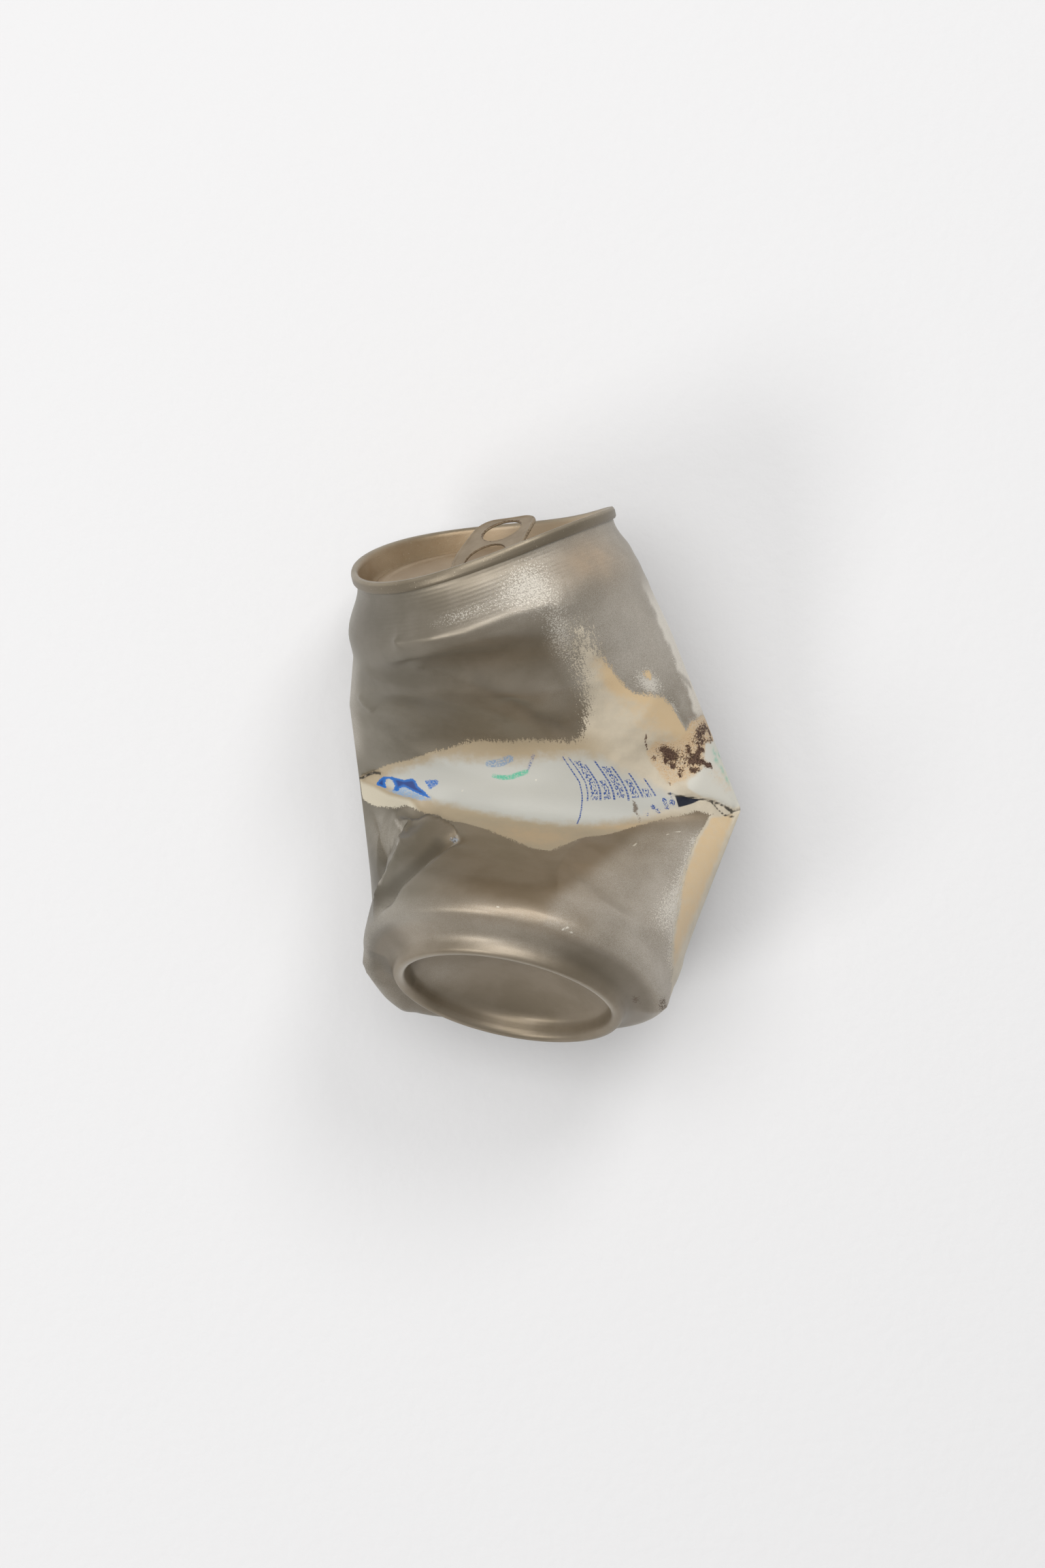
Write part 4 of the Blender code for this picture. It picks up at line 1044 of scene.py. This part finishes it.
    # Rust, painted shadow in the folds, scratches, grime and the chip lie over both.
    rust = look.moved(look.field("rust"), look.noise(2.1, 6.0, 0.8), 3.8)
    rust = look.product(rust, look.between(look.field("rust"), 0.06, 0.2))
    crust = look.between(rust, 0.58, 0.76)
    crusty = look.mix(look.between(look.noise(3.0, 4.0, 0.7), 0.4, 0.62), RUST_DARK, RUST_GREY)
    pepper = (look.noise(3.6, 3.0, 0.7), 0.57, 0.66, 0.0, 0.75)
    colour = look.layers(colour, (("stain", RUST_MID, (-0.2, 1.2), None, pepper),))
    colour = look.mix(look.between(rust, 0.36, 0.6, 0.0, 0.85), colour, RUST_MID)
    colour = look.mix(crust, colour, crusty)
    chipped = look.mix(look.between(speck, 0.45, 0.55), CHIP_DARK, CHIP_PALE)
    colour = look.layers(colour, (
        ("fold_shadow", CREASE_SHADOW, (-0.45, -0.15, 0.0, 0.9), (fine, 0.3)),
        ("scratch", SCRATCH_PALE, (-0.3, -0.1, 0.0, 0.8)),
        ("grime", OLD_DIRT, (0.5, 0.8), (fine, 3.0), (look.field("grime"), 0.1, 0.3)),
        ("chip", chipped, (0.4, 0.6), (fine, 1.6)),
        ("lining", LINING),
    ))

    ribs = look.math("SINE", look.product(height, 2.0 * math.pi / RIB_STEP))
    ribs = look.product(ribs, 0.35, look.between(height, RIBS_FROM, RIBS_FROM + 2.5))
    grain = look.line(speck, look.line(look.field("glints"), 5.0, 1.0), ribs)
    relief = look.line(bare, -1.2, look.line(look.between(rust, 0.4, 0.9), 5.0, grain))
    metallic = look.line(look.math("MAXIMUM", bare, crust), -0.6, 0.6)
    metallic = look.product(metallic, look.line(thin, -0.7, 1.0))
    return look.finish(colour, look.line(bare, 0.08, 0.43), metallic, relief, GRAIN_DEPTH)


def lid_look():
    look = Look("lid_paint_wear_and_light")
    blotches = look.between(look.noise(0.12, 4.0, 0.6), 0.35, 0.65)
    inside = look.mix(blotches, LID_INSIDE_DEEP, LID_INSIDE)
    outside = look.mix(blotches, LID_OUTSIDE_DEEP, LID_OUTSIDE)
    # Painted shade on the seam's outer band below the rim's lighter top edge.
    outside = look.mix(look.field("seam"), outside, LID_SEAM_SHADE)
    inside = look.mix(look.field("lit"), inside, LID_LIT)
    colour = look.mix(look.field("inner"), outside, inside)
    colour = look.mix(look.between(look.noise(2.6, 3.0, 0.7), 0.66, 0.7), colour, LID_CHIPS)
    return look.finish(colour, 0.4, 0.5, look.noise(3.2, 2.0, 0.6), GRAIN_DEPTH)


def tab_look():
    look = Look("worn_tab_paint")
    colour = look.mix(look.between(look.noise(0.25, 4.0, 0.6), 0.35, 0.65), TAB_PAINT_DEEP, TAB_PAINT)
    edge = look.node("ShaderNodeNewGeometry").outputs["Pointiness"]
    rubbed = look.moved(look.between(edge, 0.505, 0.54), look.noise(1.4, 4.0, 0.7), 2.2)
    colour = look.mix(look.between(rubbed, 0.6, 0.85), colour, TAB_EDGE)
    return look.finish(colour, 0.45, 0.35, look.noise(3.0, 3.0, 0.6), GRAIN_DEPTH)


# ---- lid --------------------------------------------------------------------------------------
def inset(profile, depth):
    """The same profile moved sideways by the sheet's thickness, corner by corner."""
    step = np.diff(profile, axis=0)
    normal = np.stack([step[:, 1], -step[:, 0]], axis=1)
    normal /= np.linalg.norm(normal, axis=1)[:, None]
    before = np.vstack([normal[:1], normal])
    after = np.vstack([normal, normal[-1:]])
    mitre = before + after
    moved = profile + depth * mitre / (mitre * before).sum(axis=1)[:, None]
    moved[-1, 0] = 0.0
    return moved


def revolved(outer, depth, around):
    """Vertices and faces of a thin sheet turned about the axis, open at the profile's first point."""
    verts, faces, rings = [], [], []
    for skin in (outer, inset(outer, -depth)):
        own = []
        for radius, height in skin[:-1]:
            own.append(len(verts))
            for i in range(around):
                angle = 2.0 * math.pi * i / around
                verts.append((radius * math.cos(angle), radius * math.sin(angle), height))
        rings.append((own, len(verts)))
        verts.append((0.0, 0.0, skin[-1][1]))

    def band(a, b, flip):
        for i in range(around):
            j = (i + 1) % around
            quad = (a + i, b + i, b + j, a + j)
            faces.append(quad if flip else quad[::-1])

    for (own, pole), flip in zip(rings, (False, True)):
        for a, b in zip(own, own[1:]):
            band(a, b, flip)
        for i in range(around):
            fan = (own[-1] + i, pole, own[-1] + (i + 1) % around)
            faces.append(fan if flip else fan[::-1])
    band(rings[1][0][0], rings[0][0][0], False)
    return verts, faces


def prism(name, outline, low, high):
    """A closed plate between two heights, its outline counter-clockwise from above."""
    count = len(outline)
    verts = [(x, y, low) for x, y in outline] + [(x, y, high) for x, y in outline]
    faces = [tuple(range(count))[::-1], tuple(range(count, 2 * count))]
    faces += [(i, (i + 1) % count, (i + 1) % count + count, i + count) for i in range(count)]
    return new_object(name, make_mesh(name, verts, faces))


def applied(target):
    """The target's mesh with its modifiers worked in."""
    bpy.context.view_layer.update()
    whole = target.evaluated_get(bpy.context.evaluated_depsgraph_get())
    mesh = bpy.data.meshes.new_from_object(whole)
    target.modifiers.clear()
    target.data = mesh
    return target


def combine(target, tool, operation):
    modifier = target.modifiers.new("shape", "BOOLEAN")
    modifier.operation, modifier.object, modifier.solver = operation, tool, "EXACT"
    applied(target)
    bpy.data.objects.remove(tool, do_unlink=True)


def ellipse(centre, half_x, half_y, count, start=0.0, end=360.0):
    angles = [math.radians(start + (end - start) * i / count) for i in range(count)]
    return [(centre[0] + half_x * math.cos(a), centre[1] + half_y * math.sin(a)) for a in angles]


def crush_object(made, look):
    """The object carried through the crush, with its material."""
    mesh = made.data
    points = np.array([vertex.co[:] for vertex in mesh.vertices])
    mesh.vertices.foreach_set("co", ((crush(*points.T) - BOX_MIDDLE) * MM).ravel())
    mesh.flip_normals()
    mesh.materials.clear()
    mesh.materials.append(look)
    mesh.shade_smooth()
    mesh.set_sharp_from_angle(angle=math.radians(40.0))
    mesh.update()
    return made


def dish(radius):
    """How far the crush pushed the lid's panel in, at a distance from its middle."""
    return PANEL_DISH * max(0.0, 1.0 - (radius / DISH_RADIUS) ** 2) ** 1.5


def flap_object():
    """The torn-open mouth panel: still joined at one side of the mouth and bent in under the lid."""
    hinge_x = -MOUTH_HALF_WIDTH + 0.6
    bend = math.radians(FLAP_DROP)
    straight = FLAP_LENGTH - FLAP_BEND * bend
    path = [(-2.6, 0.0, 0.0), (0.0, 0.0, 0.0)]
    for share in np.linspace(0.0, 1.0, 9)[1:]:
        turn = bend * share
        path.append((FLAP_BEND * math.sin(turn), FLAP_BEND * (math.cos(turn) - 1.0), turn))
    corner = path[-1]
    for share in np.linspace(0.0, 1.0, 15)[1:]:
        run = straight * share
        path.append((corner[0] + run * math.cos(bend), corner[1] - run * math.sin(bend), bend))
    shares = np.linspace(0.0, 1.0, len(path))
    half_widths = np.interp(shares, (0.0, 0.45, 0.75, 0.9, 0.97, 1.0), (3.6, 5.6, 6.8, 5.6, 3.9, 2.2))
    verts, faces = [], []
    top = PANEL_HEIGHT - 0.38
    for (run, drop, turn), half in zip(path, half_widths):
        for side, depth in ((-1, 0.0), (1, 0.0), (1, SHEET), (-1, SHEET)):
            x = hinge_x + run - depth * math.sin(turn)
            verts.append((x, MOUTH_CENTRE + side * half, top + drop - depth * math.cos(turn)))
    for i in range(len(path) - 1):
        a, b = 4 * i, 4 * i + 4
        faces += [(a + k, a + (k + 1) % 4, b + (k + 1) % 4, b + k) for k in range(4)]
    last = 4 * len(path) - 4
    faces += [(0, 3, 2, 1), (last, last + 1, last + 2, last + 3)]
    return new_object("flap", make_mesh("flap", verts, [face[::-1] for face in faces]))


def lid_object(look):
    verts, faces = revolved(rounded(lid_corners(), LID_STEP, LID_SOFTNESS), SHEET, LID_AROUND)
    made = new_object("crushed_lid", make_mesh("crushed_lid", verts, faces))
    mouth = ellipse((0.0, MOUTH_CENTRE), MOUTH_HALF_WIDTH, MOUTH_HALF_DEPTH, 97, 1.0, 361.0)
    combine(made, prism("mouth", mouth, PANEL_HEIGHT - 2.0, PANEL_HEIGHT + 1.5), "DIFFERENCE")
    combine(made, flap_object(), "UNION")
    for vertex in made.data.vertices:
        vertex.co.z -= dish(math.hypot(vertex.co.x, vertex.co.y)) * (vertex.co.z < PANEL_HEIGHT + 3.0)
    x, y, height = np.array([vertex.co[:] for vertex in made.data.vertices]).T
    radius = np.hypot(x, y)
    # Painted shade: the seam's outer band below its top edge is drawn darker.
    store(made.data, "seam", smoothstep(HEIGHT - 0.3, HEIGHT - 0.9, height))
    store(made.data, "lit", smoothstep(25.0, 26.5, radius) * smoothstep(-8.0, 24.0, x))
    store(made.data, "inner", 1.0 - smoothstep(CHUCK_RADIUS - 0.2, CHUCK_RADIUS + 0.5, radius))
    return crush_object(made, look)


# ---- ring-pull --------------------------------------------------------------------------------
def tab_outline():
    """The ring-pull seen square on: a round-cornered finger end and a narrower blunt nose."""
    top, half, corner = TAB_RING_END, TAB_HALF_WIDTH, TAB_CORNER
    shrink = 0.6
    points = ellipse((half - shrink - corner, top - corner), corner, corner, 10, 0.0, 90.0)
    points += ellipse((-half + shrink + corner, top - corner), corner, corner, 10, 90.0, 180.0)
    points += [(-half + shrink, top - corner), (-half, 3.0), (-half + 0.3, -1.0)]
    points += ellipse((0.0, -1.5), half - 0.6, -TAB_NOSE - 1.5, 20, 180.0, 360.0)
    return points + [(half - 0.6, -1.5), (half - 0.3, -1.0), (half, 3.0)]


def outward_of(path):
    """The direction away from a counter-clockwise outline at each of its points."""
    ahead = np.roll(path, -1, axis=0) - np.roll(path, 1, axis=0)
    ahead /= np.linalg.norm(ahead, axis=1)[:, None]
    return np.stack([ahead[:, 1], -ahead[:, 0]], axis=1)


def tube(name, outline, radius, height, sides=12):
    """A closed ring of round section that follows an outline at a height."""
    verts, faces, count = [], [], len(outline)
    for (x, y), (ax, ay) in zip(outline, outward_of(outline)):
        for k in range(sides):
            turn = 2.0 * math.pi * k / sides
            out, up = radius * math.cos(turn), radius * math.sin(turn)
            verts.append((x + ax * out, y + ay * out, height + up))
    for i in range(count):
        a, b = i * sides, (i + 1) % count * sides
        faces += [(a + k, b + k, b + (k + 1) % sides, a + (k + 1) % sides) for k in range(sides)]
    return new_object(name, make_mesh(name, verts, faces))


def joined(objects, name):
    """All the objects' meshes in one object."""
    points, faces = [], []
    for thing in objects:
        start = len(points)
        points += [tuple(vertex.co) for vertex in thing.data.vertices]
        faces += [tuple(start + i for i in face.vertices) for face in thing.data.polygons]
        bpy.data.objects.remove(thing, do_unlink=True)
    return new_object(name, make_mesh(name, points, faces))


def tongue_object():
    """The tab's riveted tongue: flat under the rivet's head, then bent up to meet the lifted tab."""
    low, high, end = 0.3, 0.8, HINGE - 1.0
    side = [(TONGUE_RADIUS, low), (TONGUE_RADIUS, high), (-2.4, high), (HINGE, HINGE_RISE + 0.5)]
    side += [(end, HINGE_RISE + 0.5), (end, HINGE_RISE + 0.1), (HINGE, HINGE_RISE + 0.1), (-2.2, low)]
    half = TONGUE_RADIUS
    made = prism("tongue", [(height, y) for y, height in side], -half - 1.0, half + 1.0)
    made.data.transform(Matrix.Rotation(-math.pi / 2.0, 4, "Y"))
    outline = ellipse((0.0, 0.0), half, half, 28, 0.0, 180.0)
    outline += [(-half, 0.0), (-half, end - 1.0), (half, end - 1.0)]
    combine(made, prism("tongue_outline", outline, -1.0, 4.0), "INTERSECT")
    hole = ellipse((0.0, 0.0), RIVET_STEM + 0.3, RIVET_STEM + 0.3, 28)
    combine(made, prism("rivet_hole", hole, -1.0, 4.0), "DIFFERENCE")
    return made


def tab_object(look):
    plate = prism("plate", tab_outline(), 0.2, 0.7)
    finger = ellipse((0.0, FINGER_CENTRE), FINGER_HALF_WIDTH, FINGER_HALF_LENGTH, 40)
    combine(plate, prism("finger_hole", finger, -1.0, 3.0), "DIFFERENCE")
    window = ellipse((0.0, 0.0), WINDOW_RADIUS, WINDOW_RADIUS, 28, 0.0, 192.0)
    window = [point for point in window if point[1] > -1.0]
    window += [(-WINDOW_RADIUS, HINGE), (WINDOW_RADIUS, HINGE)]
    combine(plate, prism("window", window, -1.0, 3.0), "DIFFERENCE")
    edge = np.array(tab_outline())
    rim = tube("rim", edge - TAB_RIM * outward_of(edge), TAB_RIM, TAB_RIM)
    hem = ellipse((0.0, FINGER_CENTRE), FINGER_HALF_WIDTH + 0.3, FINGER_HALF_LENGTH + 0.3, 48)
    bead = tube("bead", hem, 0.32, 0.5)
    made = joined([plate, rim, bead], "crushed_tab")
    lift = Matrix.Translation((0.0, HINGE, HINGE_RISE)) @ Matrix.Rotation(math.radians(TAB_LIFT), 4, "X")
    made.data.transform(lift @ Matrix.Translation((0.0, -HINGE, 0.0)))
    made = joined([made, tongue_object()], "crushed_tab")
    skin = made.modifiers.new("skin", "REMESH")
    skin.mode, skin.voxel_size = "VOXEL", TAB_VOXEL
    soften = made.modifiers.new("soften", "SMOOTH")
    soften.factor, soften.iterations = 0.5, TAB_SMOOTHING
    applied(made)
    made.data.transform(Matrix.Rotation(math.radians(180.0 + TAB_SWING), 4, "Z"))
    made.data.transform(Matrix.Translation((0.0, 0.0, PANEL_HEIGHT - PANEL_DISH + TAB_SEAT)))
    return crush_object(made, look)


# ---- stage ------------------------------------------------------------------------------------
CAMERA_HEIGHT, CAMERA_LENS, SENSOR_WIDTH, CLIP_END = 1174.4, 120.0, 36.0, 10.0
FLOOR_HALF, FLOOR_DROP, FLOOR_GLOW = 3000.0, 0.1, 0.1
WORLD_STRENGTH = 0.28
LIGHT_COLOUR = (1.0, 0.99, 0.98)
LIGHTS = (  # name, place in metres, width in metres, power
    ("top", (-0.3, 0.3, 1.5), 1.2, 13.0),
    ("key", (0.4, 0.8, 1.1), 0.5, 5.5),
    ("low", (-0.9, -0.6, 1.1), 0.5, 6.5),
)


def add_camera():
    camera = bpy.data.cameras.new("camera")
    camera.lens, camera.sensor_width, camera.clip_end = CAMERA_LENS, SENSOR_WIDTH, CLIP_END
    made = new_object("camera", camera)
    made.location = (-BOX_MIDDLE[0] * MM, -BOX_MIDDLE[1] * MM, CAMERA_HEIGHT * MM)
    bpy.context.scene.camera = made


def add_floor():
    far = FLOOR_HALF * MM
    corners = [(x * far, y * far, -FLOOR_DROP * MM) for x, y in ((-1, -1), (1, -1), (1, 1), (-1, 1))]
    mesh = make_mesh("floor", corners, [(0, 1, 2, 3)])
    look = Look("pale_floor")
    look.plug(look.shader.inputs["Emission Color"], (1.0, 1.0, 1.0, 1.0))
    look.plug(look.shader.inputs["Emission Strength"], FLOOR_GLOW)
    mesh.materials.append(look.finish(FLOOR, 0.8, 0.0, look.noise(0.35, 3.0), 0.15))
    new_object("floor", mesh)


def add_lights():
    world = bpy.data.worlds.new("studio")
    bpy.context.scene.world = world
    world.use_nodes = True
    background = world.node_tree.nodes["Background"]
    background.inputs["Color"].default_value = (1.0, 1.0, 1.0, 1.0)
    background.inputs["Strength"].default_value = WORLD_STRENGTH
    for name, place, width, power in LIGHTS:
        light = bpy.data.lights.new(name, "AREA")
        light.shape, light.size, light.energy, light.color = "DISK", width, power, LIGHT_COLOUR
        made = new_object(name, light)
        made.location = place
        made.rotation_euler = (-Vector(place)).to_track_quat("-Z", "Y").to_euler()


def main():
    bpy.context.scene.view_settings.view_transform = "Standard"
    add_camera()
    add_floor()
    add_lights()
    for piece, node, slot in (
        (shell_object(body_look()), "can_body", "body_paint"),
        (lid_object(lid_look()), "can_end", "lid_paint"),
        (tab_object(tab_look()), "pull_tab", "tab_paint"),
    ):
        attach(piece, "root")
        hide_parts(node)


main()
